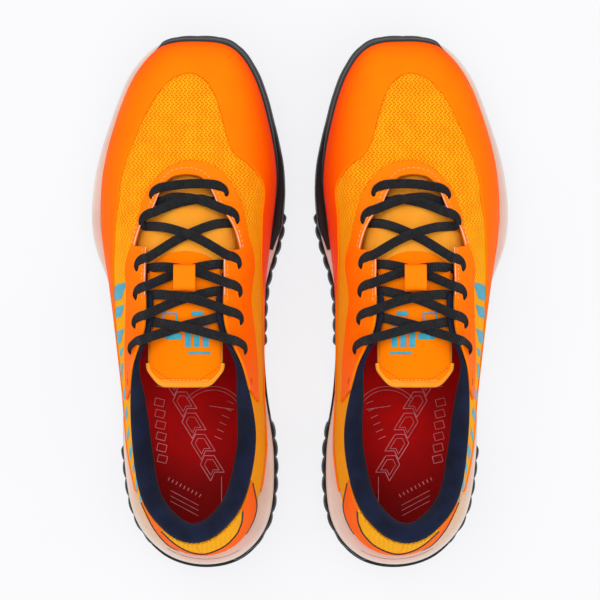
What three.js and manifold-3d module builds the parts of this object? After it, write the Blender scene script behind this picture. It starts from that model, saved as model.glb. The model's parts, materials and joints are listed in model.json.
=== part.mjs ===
// A pair of low-cut lace-up sports shoes: knitted orange uppers with welded films, navy padded
// collars, red insoles and black lugged rubber outsoles under cream midsoles.
// Millimetres. +X points to the right shoe, +Y to the toes, +Z up. The origin is on the floor,
// midway between the two shoes.

import * as THREE from 'three';
import { LoftGeometry } from 'three/addons/geometries/LoftGeometry.js';
import { mergeVertices } from 'three/addons/utils/BufferGeometryUtils.js';
import Module from 'manifold-3d';

const wasm = await Module();
wasm.setup();

// ---------------------------------------------------------------- driving dimensions
const LAST_LENGTH = 290.5;       // upper at its lower edge, toe to heel
const LAST_WIDTH = 98;           // upper at the ball of the foot
const INSTEP_HEIGHT = 67;        // collar front above the upper's lower edge
const SHOE_SPACING = 126.8;      // between the two shoes' centre planes
const HEEL_STACK = 38;           // floor to the upper's lower edge at the heel
const FOREFOOT_STACK = 26;       // the same at the ball
const TOE_SPRING = 7;            // rise of the outsole at the toe tip
const HEEL_BEVEL = 3;            // rise of the outsole behind the heel
const LUG_DEPTH = 4.5;
const LUG_SIZE = 12;
const LUG_PITCH = 25;
const LUG_SPACING = 27;
const LUG_EDGE = 7.5;            // from the outsole's edge to the outermost lugs' middles
const LUG_REACH = 125;
const OUTSOLE_SKIN = 2.6;        // rubber sheet between the lugs and the midsole
const UPPER_THICKNESS = 1.6;
const FILM_THICKNESS = 0.8;
const STAY_THICKNESS = 1.3;
const RAND_THICKNESS = 2.0;      // rubber wrapped up over the toe
const EYELET_CLEARANCE = 0.9;    // slot past the lace, all round
const LACE_WIDTH = 5;
const LACE_THICKNESS = 1.3;
const AGLET_RADIUS = 1.5;
const AGLET_LENGTH = 16;
const COLLAR_PADDING = 9;
const COUNTER_THICKNESS = 1.2;
const BOARD_THICKNESS = 1.2;     // sewn-in board that closes the upper underneath
const INSOLE_THICKNESS = 4.5;
const TONGUE_THICKNESS = 3.6;
const TONGUE_LAP = 1;            // tongue's sides past the throat's edges
const TONGUE_CROWN = 7.5;        // drop from the tongue's middle to its sides
const TONGUE_RISE = 2.6;         // tongue's middle above the throat's edges
const PATCH_THICKNESS = 0.8;
const PATCH_MARGIN = 9;          // tongue's sides past its patch
const KEEPER_WIDTH = 12;
const KEEPER_SIDE = 1.5;         // between the keeper's ends and the laces that cross in it
const KEEPER_THICKNESS = 1.2;
const BINDING_RADIUS = 1.6;
const PIPING_RADIUS = 0.7;
const GAP = 0.3;                 // between pieces that touch
const LAYER_GAP = 0.4;           // between curved layers

// ---------------------------------------------------------------- the last
// One rib of the upper runs from its lower edge up to the throat or collar edge. Ribs are numbered
// from the toe tip (0) to the heel (12), positive on the outer side and negative on the inner side.
// Each row: lower edge y, outer x, inner x, height share between the stacks; top edge y, outer x,
// inner x, height; steepness, bulge, run-in, run-in drop; sole margin on the outer and inner side.
const STATIONS = [
  [147.0, -5.0, -5.0, 31.0, 68.3, 0.0, 0.0, 43.0, 25, 0.5, 36, 9, 2.6, 2.6],
  [143.8, 14.0, -24.5, 30.5, 68.0, 4.0, -3.8, 43.7, 25, 0.5, 34, 9, 2.4, 2.6],
  [127.0, 29.8, -37.2, 29.0, 66.9, 8.0, -7.4, 46.0, 24, 0.5, 30, 9, 1.9, 2.7],
  [99.0, 41.3, -45.6, 27.0, 63.0, 12.0, -11.5, 50.0, 24, 0.5, 24, 9, 2.0, 2.9],
  [70.0, 48.0, -49.4, 26.0, 56.0, 15.6, -15.0, 54.0, 24, 0.5, 20, 10, 3.4, 4.4],
  [40.0, 48.6, -46.4, 26.0, 41.0, 20.0, -19.5, 60.0, 26, 0.5, 17, 10, 4.4, 5.6],
  [8.0, 43.8, -42.8, 28.5, 14.0, 21.5, -20.0, 68.0, 30, 1.5, 15, 11, 1.0, 1.0],
  [-22.0, 39.5, -42.0, 31.0, -14.0, 21.5, -21.0, 74.0, 32, 2.5, 14, 14, 0.0, 0.0],
  [-52.0, 36.5, -42.5, 33.5, -40.0, 29.5, -32.0, 67.5, 30, 2.5, 4, 18, 0.5, 1.0],
  [-88.0, 33.5, -43.5, 36.5, -76.0, 30.5, -38.5, 42.5, 18, 2.0, 1, 12, 3.0, 5.0],
  [-120.0, 25.0, -37.5, 38.0, -110.0, 24.8, -32.5, 52.0, 22, 1.5, 1, 14, 6.0, 9.0],
  [-137.5, 10.5, -26.5, 38.0, -128.5, 11.0, -19.0, 61.5, 24, 1.5, 1, 16, 6.5, 8.0],
  [-143.5, -8.5, -8.5, 38.0, -134.5, -4.0, -4.0, 64.0, 26, 1.5, 1, 16, 6.5, 6.5],
];
const HEEL_RIB = STATIONS.length - 1;
const NOMINAL = { length: 290.5, width: 98, instep: 67, heel: 38, forefoot: 26 };
const alongScale = LAST_LENGTH / NOMINAL.length;
const acrossScale = LAST_WIDTH / NOMINAL.width;
const riseScale = INSTEP_HEIGHT / NOMINAL.instep;

function stackHeight(nominal) {
  const share = (nominal - NOMINAL.forefoot) / (NOMINAL.heel - NOMINAL.forefoot);
  return FOREFOOT_STACK + share * (HEEL_STACK - FOREFOOT_STACK);
}

function makeRib(number) {
  const row = STATIONS[Math.abs(number)];
  const [y, outerX, innerX, z, topY, topOuterX, topInnerX, topRise] = row;
  const [rise, bulge, run, drop, outerMargin, innerMargin] = row.slice(8);
  const outer = number >= 0;
  const base = new THREE.Vector3((outer ? outerX : innerX) * acrossScale, y * alongScale, stackHeight(z));
  const top = new THREE.Vector3((outer ? topOuterX : topInnerX) * acrossScale, topY * alongScale,
    base.z + topRise * riseScale);
  const away = new THREE.Vector3(base.x - top.x, base.y - top.y, 0).normalize();
  const lower = base.clone().addScaledVector(away, bulge);
  lower.z += rise * riseScale;
  const upper = top.clone().addScaledVector(away, run);
  upper.z -= drop * riseScale;
  return { base, lower, upper, top, away, margin: outer ? outerMargin : innerMargin };
}

const RIBS = [];
for (let k = 0; k < 2 * HEEL_RIB; k++) RIBS.push(makeRib(k <= HEEL_RIB ? k : k - 2 * HEEL_RIB));
const THROAT_MIDDLE = 6;         // rib at the middle of the throat
const tongueHalfWidth = RIBS[THROAT_MIDDLE].top.x + TONGUE_LAP;

function blend(a, b, c, d, t) {
  return b + 0.5 * t * (c - a + t * (2 * a - 5 * b + 4 * c - d + t * (3 * (b - c) + d - a)));
}

function ribValue(p, read) {
  const count = RIBS.length;
  const k = Math.floor(p);
  const at = (i) => read(RIBS[(((k + i) % count) + count) % count]);
  return blend(at(-1), at(0), at(1), at(2), p - k);
}

function ribPoint(p, key) {
  return new THREE.Vector3(ribValue(p, (r) => r[key].x), ribValue(p, (r) => r[key].y),
    ribValue(p, (r) => r[key].z));
}

function skin(p, v) {
  const u = 1 - v;
  return ribPoint(p, 'base').multiplyScalar(u * u * u)
    .addScaledVector(ribPoint(p, 'lower'), 3 * u * u * v)
    .addScaledVector(ribPoint(p, 'upper'), 3 * u * v * v)
    .addScaledVector(ribPoint(p, 'top'), v * v * v);
}

function skinNormal(p, v) {
  const step = 0.004;
  const along = skin(p + step, v).sub(skin(p - step, v));
  const up = skin(p, v + step).sub(skin(p, v - step));
  return up.cross(along).normalize();
}

// a point at rib p, a share v of the way up it, and an offset outward from the upper's outside
function onUpper(p, v, offset = 0) {
  return skin(p, v).addScaledVector(skinNormal(p, v), offset);
}

// a point in the plane of the sole's edge, a margin outside the upper's lower edge
function onSole(p, margin, z) {
  const base = ribPoint(p, 'base');
  const along = ribPoint(p + 0.02, 'base').sub(ribPoint(p - 0.02, 'base')).setZ(0).normalize();
  return new THREE.Vector3(base.x - along.y * margin, base.y + along.x * margin, z);
}

const soleMargin = (p) => ribValue(p, (r) => r.margin);
const featherHeight = (p) => ribPoint(p, 'base').z;

// height of the tread surface: flat underfoot, curving up to the toe tip and behind the heel
const SPRING_START = 62;
const BEVEL_START = -122;
const SOLE_OVERHANG = 4.25;      // sole past the upper's lower edge at the toe and the heel
const toeEnd = LAST_LENGTH / 2 + SOLE_OVERHANG;
const heelEnd = -toeEnd;
function treadHeight(y) {
  const toe = THREE.MathUtils.clamp((y - SPRING_START) / (toeEnd - SPRING_START), 0, 1.1);
  const heel = THREE.MathUtils.clamp((y - BEVEL_START) / (heelEnd - BEVEL_START), 0, 1.1);
  return TOE_SPRING * toe * toe + HEEL_BEVEL * heel * heel;
}

// ---------------------------------------------------------------- solids and meshes
const nodes = [];

function outward(geometry) {
  const bare = new THREE.BufferGeometry();
  bare.setAttribute('position', geometry.getAttribute('position').clone());
  if (geometry.index) bare.setIndex(geometry.index.clone());
  const merged = mergeVertices(bare, 1e-3);
  const position = merged.getAttribute('position');
  const corner = [new THREE.Vector3(), new THREE.Vector3(), new THREE.Vector3()];
  const faces = [];
  let volume = 0;
  for (let i = 0; i < merged.index.count; i += 3) {
    const [a, b, c] = [merged.index.getX(i), merged.index.getX(i + 1), merged.index.getX(i + 2)];
    if (a === b || b === c || c === a) continue;
    faces.push([a, b, c]);
    [a, b, c].forEach((v, k) => corner[k].fromBufferAttribute(position, v));
    volume += corner[0].dot(corner[1].cross(corner[2]));
  }
  if (volume < 0) faces.forEach((face) => face.reverse());
  merged.setIndex(faces.flat());
  return merged;
}

function toManifold(geometry) {
  const solid = outward(geometry);
  return new wasm.Manifold(new wasm.Mesh({
    numProp: 3,
    vertProperties: new Float32Array(solid.getAttribute('position').array),
    triVerts: new Uint32Array(solid.index.array),
  }));
}

function fromManifold(manifold) {
  const mesh = manifold.getMesh();
  const geometry = new THREE.BufferGeometry();
  geometry.setAttribute('position', new THREE.Float32BufferAttribute(mesh.vertProperties, 3));
  geometry.setIndex(new THREE.Uint32BufferAttribute(mesh.triVerts, 1));
  return geometry;
}

const MATERIALS = {
  rubber: [0x1c1c1f, 0.85], foam: [0xdfd5cf, 0.75], board: [0xc9c2b4, 0.9], insole: [0xa52024, 0.9],
  knit: [0xfb990f, 0.8], film: [0xfe580a, 0.35], stay: [0xfe7d0e, 0.4], toeFilm: [0xfd8612, 0.35],
  lining: [0x161824, 0.95], tab: [0xfca323, 0.75], piping: [0x2a2630, 0.6], edge: [0xf3d9c8, 0.6],
  tongue: [0xfe8509, 0.7], binding: [0xfba32d, 0.8], lace: [0x1f1f22, 0.9], aglet: [0x141416, 0.3],
};

function piece(name, geometry, look) {
  const [color, roughness] = MATERIALS[look];
  const solid = outward(geometry);
  solid.computeVertexNormals();
  nodes.push({ name, geometry: solid, color, roughness });
}

// ---------------------------------------------------------------- shells that follow the upper
const FINE_TOE = 5;              // ribs up to this one, and past FINE_HEEL, are sampled twice as often
const FINE_HEEL = 10;
const ROWS = 7;

function columns(from, to) {
  const list = [from];
  for (let p = Math.ceil(from * 2) / 2; p < to; p += 0.5) {
    const depth = Math.abs(p) > HEEL_RIB ? 2 * HEEL_RIB - Math.abs(p) : Math.abs(p);
    const sampled = depth <= FINE_TOE || depth >= FINE_HEEL || Number.isInteger(p);
    if (sampled && p > from + 0.1 && p < to - 0.1) list.push(p);
  }
  list.push(to);
  return list;
}

// an edge drawn on the upper: [rib, share of the way up] pairs, read at any rib between them
function edgeLine(points) {
  return (p) => {
    let k = 0;
    while (k < points.length - 2 && p > points[k + 1][0]) k++;
    const [p0, v0] = points[k];
    const [p1, v1] = points[k + 1];
    return THREE.MathUtils.lerp(v0, v1, THREE.MathUtils.clamp((p - p0) / (p1 - p0), 0, 1));
  };
}

function shell(from, to, low, high, outerOffset, innerOffset) {
  const sections = columns(from, to).map((p) => {
    const rows = [];
    for (let j = 0; j <= ROWS; j++) rows.push(THREE.MathUtils.clamp(j / ROWS, low(p), high(p)));
    const outer = rows.map((v) => onUpper(p, v, outerOffset));
    const inner = rows.map((v) => onUpper(p, v, innerOffset)).reverse();
    return [...outer, ...inner];
  });
  return new LoftGeometry(sections, { capStart: true, capEnd: true });
}

const TIP = 0.12;                // the slabs stop this many ribs short of the toe and heel
// a flat slab between two heights above the sole's edge line, from toe to heel
function slab(inset, bottom, top, waist = 0) {
  return new LoftGeometry(columns(TIP, HEEL_RIB - TIP).map((s) => {
    const side = (p, level, extra) => {
      const point = onSole(p, inset(p) + extra, 0);
      point.z = level(point.y, featherHeight(p));
      return point;
    };
    const middle = (y, z) => (bottom(y, z) + top(y, z)) / 2;
    const wall = (p) => (waist === 0
      ? [side(p, bottom, 0), side(p, top, 0)]
      : [side(p, bottom, -waist), side(p, middle, 0), side(p, top, -waist / 2)]);
    return [...wall(s), ...wall(-s).reverse()];
  }), { capStart: true, capEnd: true });
}

// ---------------------------------------------------------------- sole
const skinBottom = (y) => treadHeight(y) + LUG_DEPTH;
const skinTop = (y) => skinBottom(y) + OUTSOLE_SKIN;
const OUTSOLE_LIP = 0.8;         // outsole edge past the midsole
const MIDSOLE_WAIST = 1.2;       // how far the midsole's wall draws in at its lower edge
const LUG_SIDES = 6;
const LUG_ROOT = 0.56;           // radius where a lug meets the sheet, a share of its size
const LUG_CROWN = 0.48;          // radius on the ground

// the rib whose lower edge lies at this y
function ribAt(y) {
  let low = 0;
  let high = HEEL_RIB;
  for (let i = 0; i < 24; i++) {
    const half = (low + high) / 2;
    if (ribPoint(half, 'base').y > y) low = half;
    else high = half;
  }
  return low;
}

function outsole() {
  const sheet = slab((p) => soleMargin(p) + OUTSOLE_LIP, skinBottom, skinTop);
  let solid = toManifold(sheet);
  for (let y = LUG_REACH; y >= -LUG_REACH; y -= LUG_PITCH) {
    const rib = ribAt(y);
    const outer = onSole(rib, soleMargin(rib), 0);
    const inner = onSole(-rib, soleMargin(-rib), 0);
    const span = outer.x - inner.x;
    const count = Math.max(2, Math.floor(span / LUG_SPACING));
    for (let k = 0; k < count; k++) {
      const share = (LUG_EDGE + (k / (count - 1)) * (span - 2 * LUG_EDGE)) / span;
      const spot = inner.clone().lerp(outer, share);
      const height = LUG_DEPTH + OUTSOLE_SKIN / 2;
      const lug = new THREE.CylinderGeometry(LUG_ROOT * LUG_SIZE, LUG_CROWN * LUG_SIZE, height, LUG_SIDES);
      lug.rotateX(Math.PI / 2);
      lug.translate(spot.x, spot.y, treadHeight(spot.y) + height / 2);
      solid = solid.add(toManifold(lug));
    }
  }
  return fromManifold(solid);
}

const midsole = () => slab(soleMargin, (y) => skinTop(y) + GAP, (y, z) => z - GAP, MIDSOLE_WAIST);
const BOARD_INSET = -2.8;
const INSOLE_INSET = -3.8;
const board = () => slab(() => BOARD_INSET, (y, z) => z, (y, z) => z + BOARD_THICKNESS);
const insoleBottom = BOARD_THICKNESS + GAP;
const insole = () => slab(() => INSOLE_INSET, (y, z) => z + insoleBottom,
  (y, z) => z + insoleBottom + INSOLE_THICKNESS);

// ---------------------------------------------------------------- upper: knit, films, reinforcement
const VAMP_SEAM = 5;
const BACK_SEAM = 10;
const SEAM_GAP = 0.05;          // in ribs
const COLLAR_START = 8.4;
const KNIT_TOP = 0.88;
const STAY_LAP = 0.02;
const stayEdge = edgeLine([
  [-8.3, 0.52], [-7.5, 0.47], [-6.9, 0.51], [-6.3, 0.58], [-5.65, 0.54], [-5.15, 0.68], [-4.4, 0.745],
  [-3.5, 0.81], [-2.4, 0.87], [-1, 0.905], [0, 0.91], [1.8, 0.92], [3.1, 0.9], [4.1, 0.865],
  [4.66, 0.85], [5.3, 0.81], [5.72, 0.7], [6.2, 0.7], [6.9, 0.64], [7.6, 0.6], [8.3, 0.62],
]);
const knitTop = (p) => (Math.abs(p) < COLLAR_START - 0.2 ? stayEdge(p) + STAY_LAP : KNIT_TOP);
const floorLine = () => 0;

const knitPart = (from, to) => shell(from, to, floorLine, knitTop, 0, -UPPER_THICKNESS);

const filmInner = LAYER_GAP;
const filmOuter = filmInner + FILM_THICKNESS;
const toeFilmTop = edgeLine([
  [-4.15, 0.4], [-3.5, 0.56], [-2.95, 0.665], [-2.4, 0.68], [-1.87, 0.65], [-1.35, 0.6], [-0.9, 0.54],
  [-0.5, 0.48], [0, 0.43], [0.68, 0.44], [1.28, 0.475], [1.9, 0.51], [2.94, 0.535], [3.52, 0.53],
  [4.14, 0.54], [4.48, 0.555], [4.75, 0.5],
]);
const outerFilmTop = edgeLine([[4.8, 0.5], [5.4, 0.5], [5.75, 0.44], [6.2, 0.42], [8, 0.4], [9.6, 0.42]]);
const innerFilmTop = edgeLine([[-9.6, 0.42], [-8.3, 0.44], [-7.5, 0.43], [-6.9, 0.47], [-6.3, 0.54],
  [-5.65, 0.49], [-4.8, 0.44], [-4.2, 0.4]]);
const tabEdge = edgeLine([[10.45, 0.86], [10.8, 0.46], [11.3, 0.39], [12, 0.385], [12.7, 0.45],
  [13.2, 0.6], [13.55, 0.86]]);
const heelFilmTop = edgeLine([[9.65, 0.42], [10, 0.75], [10.4, 0.8], [10.8, 0.41], [11.3, 0.34],
  [12, 0.335], [12.7, 0.4], [13.2, 0.55], [13.6, 0.8], [14, 0.75], [14.35, 0.44]]);
const film = (from, to, top) => shell(from, to, floorLine, top, filmOuter, filmInner);
const TAB_TOP = 0.9;
const tabOuter = filmInner + FILM_THICKNESS + 0.3;
const heelTab = () => shell(10.45, 13.55, tabEdge, () => TAB_TOP, tabOuter, filmInner);
const counter = () => shell(10, 14, () => 0.05, () => 0.43, -UPPER_THICKNESS - LAYER_GAP,
  -UPPER_THICKNESS - LAYER_GAP - COUNTER_THICKNESS);
const randTop = edgeLine([[-5.3, 0.05], [-4.5, 0.12], [-3, 0.17], [-1.5, 0.17], [0, 0.16], [0.8, 0.13],
  [1.2, 0.05]]);
const randInner = filmOuter + LAYER_GAP;
const rand = () => shell(-5.3, 1.2, floorLine, randTop, randInner + RAND_THICKNESS, randInner);

// ---------------------------------------------------------------- eyelets and lace
// laced eyelets from the toe end, as [rib, share of the way up], then the unused last one
const OUTER_EYELETS = [[4.0, 0.935], [4.95, 0.91], [5.84, 0.885], [6.38, 0.865], [6.92, 0.84],
  [7.5, 0.83], [7.97, 0.84]];
const INNER_EYELETS = [[-3.98, 0.88], [-4.87, 0.835], [-5.77, 0.805], [-6.3, 0.785], [-6.83, 0.77],
  [-7.5, 0.8], [-7.97, 0.82]];
const LACED_ROWS = 6;
const stayInner = LAYER_GAP;
const stayOuter = stayInner + STAY_THICKNESS;
const STAY_END = 8.3;
const STAY_TOP = 0.985;

function eyeletCutter([p, v]) {
  const slot = new THREE.BoxGeometry(LACE_WIDTH + 2 * EYELET_CLEARANCE, LACE_THICKNESS
    + 2 * EYELET_CLEARANCE, 4 * STAY_THICKNESS);
  const normal = skinNormal(p, v);
  const along = new THREE.Vector3(0, 1, 0).addScaledVector(normal, -normal.y).normalize();
  const across = normal.clone().cross(along).normalize();
  const turn = new THREE.Matrix4().makeBasis(along, across, normal);
  turn.setPosition(onUpper(p, v, (stayInner + stayOuter) / 2));
  return slot.applyMatrix4(turn);
}

function eyestay() {
  let solid = toManifold(shell(-STAY_END, STAY_END, stayEdge, () => STAY_TOP, stayOuter, stayInner));
  for (const eyelet of [...OUTER_EYELETS, ...INNER_EYELETS]) {
    solid = solid.subtract(toManifold(eyeletCutter(eyelet)));
  }
  const clear = flatCord(laceRoute, LACE_WIDTH + 2 * GAP, LACE_THICKNESS + 2 * GAP, 8);
  solid = solid.subtract(toManifold(clear));
  return fromManifold(solid);
}

// the tongue's middle line, from where it is sewn under the vamp to its free end
const sewn = onUpper(0, 0.88, -UPPER_THICKNESS - 0.5);
const throatMiddle = (rib, lift) => {
  const middle = ribPoint(rib, 'top').add(ribPoint(-rib, 'top')).multiplyScalar(0.5);
  middle.z += lift;
  return middle;
};
const tongueLine = new THREE.CatmullRomCurve3([
  sewn, throatMiddle(3, -4), throatMiddle(4, -1.2), throatMiddle(5, 1.4), throatMiddle(6, TONGUE_RISE),
  throatMiddle(7, TONGUE_RISE), throatMiddle(7, TONGUE_RISE + 1.6).add(new THREE.Vector3(0, -33, 0)),
]);

function tongueMiddle(y) {
  let low = 0;
  let high = 1;
  for (let i = 0; i < 24; i++) {
    const half = (low + high) / 2;
    if (tongueLine.getPoint(half).y > y) low = half;
    else high = half;
  }
  return tongueLine.getPoint(low);
}

// a point above the tongue's face
function onTongue(x, y, above) {
  const middle = tongueMiddle(y);
  const ahead = tongueMiddle(y - 1);
  const behind = tongueMiddle(y + 1);
  const slope = (ahead.z - behind.z) / 2;
  const share = (x - middle.x) / tongueHalfWidth;
  const facing = new THREE.Vector3((2 * TONGUE_CROWN * share) / tongueHalfWidth, slope, 1).normalize();
  return new THREE.Vector3(x, y, middle.z - TONGUE_CROWN * share * share).addScaledVector(facing, above);
}

const patchInner = GAP;
const patchOuter = patchInner + PATCH_THICKNESS;
const lowStrand = patchOuter + GAP + LACE_THICKNESS / 2 + 0.7;
const highStrand = lowStrand + LACE_THICKNESS + 2 * GAP;
const overStay = stayOuter + GAP + LACE_THICKNESS / 2;
const underStay = stayInner - GAP - LACE_THICKNESS / 2 - 0.35;

// where the lace passes the reinforcement's edge, above or below it
const pastEdge = ([p], offset) => onUpper(p, 1, offset + 0.2);

// through an eyelet, from the top of the reinforcement to its underside
function throughEyelet([p, v]) {
  return [
    onUpper(p, v + 0.012, overStay),
    onUpper(p, v, (stayInner + stayOuter) / 2),
    onUpper(p, v + 0.012, underStay),
  ];
}

// lace from the top of one eyelet over the edge, across the tongue and up under the other edge
function crossing(from, to, above) {
  const start = onUpper(from[0], 1, 0);
  const end = onUpper(to[0], 1, 0);
  const points = [pastEdge(from, overStay)];
  for (const share of [0.3, 0.5, 0.7]) {
    const spot = start.clone().lerp(end, share);
    const lift = share === 0.5 ? above : THREE.MathUtils.lerp(above, lowStrand, 0.35);
    points.push(onTongue(spot.x, spot.y, lift));
  }
  points.push(pastEdge(to, underStay));
  return points;
}

function lacePoints() {
  const last = LACED_ROWS - 1;
  const sides = [OUTER_EYELETS, INNER_EYELETS];
  const tail = (eyelet) => {
    const side = Math.sign(eyelet[0]);
    return [
      onUpper(eyelet[0] + side * 0.04, eyelet[1] - 0.1, underStay - 1.8),
      onUpper(eyelet[0] + side * 0.08, eyelet[1] - 0.2, underStay - 3.4),
    ];
  };
  // each half climbs from the inside tail at the last row to the bar across the first row
  const half = (startSide) => {
    let side = startSide;
    const points = [...tail(sides[side][last]).reverse(), ...throughEyelet(sides[side][last]).reverse()];
    for (let row = last; row > 0; row--) {
      const from = sides[side][row];
      side = 1 - side;
      const to = sides[side][row - 1];
      const top = (side === 0);
      points.push(...crossing(from, to, top ? highStrand : lowStrand));
      points.push(...throughEyelet(to).reverse());
    }
    return points;
  };
  const first = half(0);
  const second = half(1).reverse();
  const barStart = INNER_EYELETS[0];
  const barEnd = OUTER_EYELETS[0];
  const start = onUpper(barStart[0], 1, 0);
  const end = onUpper(barEnd[0], 1, 0);
  const bar = [0.35, 0.5, 0.65].map((share) => {
    const spot = start.clone().lerp(end, share);
    return onTongue(spot.x, spot.y, highStrand + 3.5);
  });
  return [...first, pastEdge(barStart, overStay), ...bar, pastEdge(barEnd, overStay), ...second];
}

// a flat-oval cord through a list of points, its width kept along the shoe
function flatCord(points, width, thickness, sides) {
  const lengthwise = new THREE.Vector3(0, 1, 0);
  const sections = points.map((point, i) => {
    const before = points[Math.max(i - 1, 0)];
    const after = points[Math.min(i + 1, points.length - 1)];
    const tangent = after.clone().sub(before).normalize();
    const wide = lengthwise.clone().addScaledVector(tangent, -lengthwise.dot(tangent)).normalize();
    const thin = tangent.clone().cross(wide);
    const ring = [];
    for (let k = 0; k < sides; k++) {
      const turn = (2 * Math.PI * (k + 0.5)) / sides;
      ring.push(point.clone().addScaledVector(wide, (width / 2) * Math.cos(turn))
        .addScaledVector(thin, (thickness / 2) * Math.sin(turn)));
    }
    return ring;
  });
  return new LoftGeometry(sections, { capStart: true, capEnd: true });
}

const laceRoute = lacePoints();
const lace = () => flatCord(laceRoute, LACE_WIDTH, LACE_THICKNESS, 8);

function aglet(end, before) {
  const direction = end.clone().sub(before).normalize();
  const tube = new THREE.CylinderGeometry(AGLET_RADIUS, AGLET_RADIUS, AGLET_LENGTH, 10);
  tube.applyQuaternion(new THREE.Quaternion().setFromUnitVectors(new THREE.Vector3(0, 1, 0), direction));
  const centre = end.clone().addScaledVector(direction, GAP + AGLET_LENGTH / 2);
  return tube.translate(centre.x, centre.y, centre.z);
}

// ---------------------------------------------------------------- tongue
const TONGUE_TIP = tongueLine.getPoint(1).y;

function onTongueStrip(halfWidth, from, to, count, outer, inner) {
  const shares = [-1, -0.5, 0, 0.5, 1];
  const sections = [];
  for (let k = 0; k <= count; k++) {
    const y = THREE.MathUtils.lerp(from, to, k / count);
    const middle = tongueMiddle(y);
    const row = (above) => shares.map((share) => {
      const x = middle.x + share * halfWidth(k / count);
      return onTongue(x, y, 0).add(new THREE.Vector3(0, 0, above));
    });
    sections.push([...row(inner), ...row(outer).reverse()]);
  }
  return new LoftGeometry(sections, { capStart: true, capEnd: true });
}

const tongue = () => onTongueStrip((t) => tongueHalfWidth * Math.min(1, 0.62 + 1.6 * t, 1.9 - t),
  sewn.y, TONGUE_TIP, 10, 0, -TONGUE_THICKNESS);
const patchHalfWidth = tongueHalfWidth - PATCH_MARGIN;
const patchStart = throatMiddle(5.45, 0).y;
const patch = () => onTongueStrip((t) => patchHalfWidth * Math.min(1, 0.6 + 3 * t), patchStart,
  TONGUE_TIP + 2, 6, patchOuter, patchInner);

function cordAlong(points, radius, steps) {
  const section = new THREE.Shape().absarc(0, 0, radius, 0, 2 * Math.PI);
  return new THREE.ExtrudeGeometry(section, { steps, curveSegments: 3, bevelEnabled: false,
    extrudePath: new THREE.CatmullRomCurve3(points) });
}

function binding() {
  const y = TONGUE_TIP - BINDING_RADIUS - GAP;
  const points = [-0.86, -0.43, 0, 0.43, 0.86].map((share) => {
    const bow = 2.5 * (1 - Math.abs(share));
    return onTongue(share * tongueHalfWidth, y, -TONGUE_THICKNESS / 2).add(new THREE.Vector3(0, -bow, 0));
  });
  points.forEach((point, k) => { if (k === 0 || k === 4) point.y = y; });
  return cordAlong(points, BINDING_RADIUS, 10);
}

// the keeper stands over the crossing between the third and fourth rows
const edgeY = ([p]) => onUpper(p, 1).y;
const rowAbove = (edgeY(OUTER_EYELETS[2]) + edgeY(INNER_EYELETS[2])) / 2;
const rowBelow = (edgeY(OUTER_EYELETS[3]) + edgeY(INNER_EYELETS[3])) / 2;
const keeperY = (rowAbove + rowBelow) / 2;
const crossingDrift = (KEEPER_WIDTH * (rowAbove - rowBelow)) / (2 * tongueHalfWidth);
const keeperLength = LACE_WIDTH + crossingDrift + 2 * (KEEPER_THICKNESS + KEEPER_SIDE);
const KEEPER_CLEARANCE = 1.9;    // above the laces, so the tongue can sink a little
function keeper() {
  const height = highStrand + LACE_THICKNESS / 2 + KEEPER_CLEARANCE + KEEPER_THICKNESS;
  const reach = keeperLength / 2;
  const floor = patchOuter + GAP;
  const t = KEEPER_THICKNESS;
  const outline = new THREE.Shape([[-reach, floor], [-reach + t, floor], [-reach + t, height - t],
    [reach - t, height - t], [reach - t, floor], [reach, floor], [reach, height - t / 2],
    [reach - t / 2, height], [-reach + t / 2, height], [-reach, height - t / 2],
  ].map(([a, b]) => new THREE.Vector2(a, b)));
  const strap = new THREE.ExtrudeGeometry(outline, { depth: KEEPER_WIDTH, bevelEnabled: false });
  strap.translate(0, 0, -KEEPER_WIDTH / 2);
  const here = onTongue(tongueMiddle(keeperY).x, keeperY, 0);
  const ahead = tongueMiddle(keeperY + reach).sub(tongueMiddle(keeperY - reach)).normalize();
  const up = new THREE.Vector3(1, 0, 0).cross(ahead).normalize();
  const turn = new THREE.Matrix4().makeBasis(ahead, up, new THREE.Vector3().crossVectors(ahead, up));
  return strap.applyMatrix4(turn.setPosition(here));
}

// ---------------------------------------------------------------- collar, trim
const COLLAR_FOOT = 0.48;        // how far up the wall the collar's padding starts
const COLLAR_ROLL = 3;           // the padding's crown above the wall's top
function lining() {
  const wall = -UPPER_THICKNESS - LAYER_GAP;
  const depth = wall - COLLAR_PADDING;
  const sections = columns(COLLAR_START, 2 * HEEL_RIB - COLLAR_START).map((p) => {
    const at = (v, offset, lift = 0) => onUpper(p, v, offset).add(new THREE.Vector3(0, 0, lift));
    return [
      at(COLLAR_FOOT, wall), at(0.7, wall), at(KNIT_TOP + 0.005, wall),
      at(KNIT_TOP + 0.025, -0.2), at(1, 0, 0.4),
      at(1, -0.3 * COLLAR_PADDING, COLLAR_ROLL), at(1, -0.8 * COLLAR_PADDING, COLLAR_ROLL / 2),
      at(0.94, depth), at(0.8, depth), at(0.64, 0.75 * depth), at(COLLAR_FOOT + 0.03, 0.4 * depth),
    ];
  });
  return new LoftGeometry(sections, { capStart: true, capEnd: true });
}

function heelPiping() {
  const points = [];
  for (let p = 10.75; p <= 13.3; p += 0.25) {
    points.push(onUpper(p, tabEdge(p) + 0.03, tabOuter + GAP + PIPING_RADIUS));
  }
  return cordAlong(points, PIPING_RADIUS, 14);
}

function throatPiping() {
  const points = [];
  for (let p = -3.6; p <= 3.61; p += 0.6) {
    points.push(onUpper(p, STAY_TOP - 0.01, stayOuter + GAP + PIPING_RADIUS));
  }
  return cordAlong(points, PIPING_RADIUS, 14);
}

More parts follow.
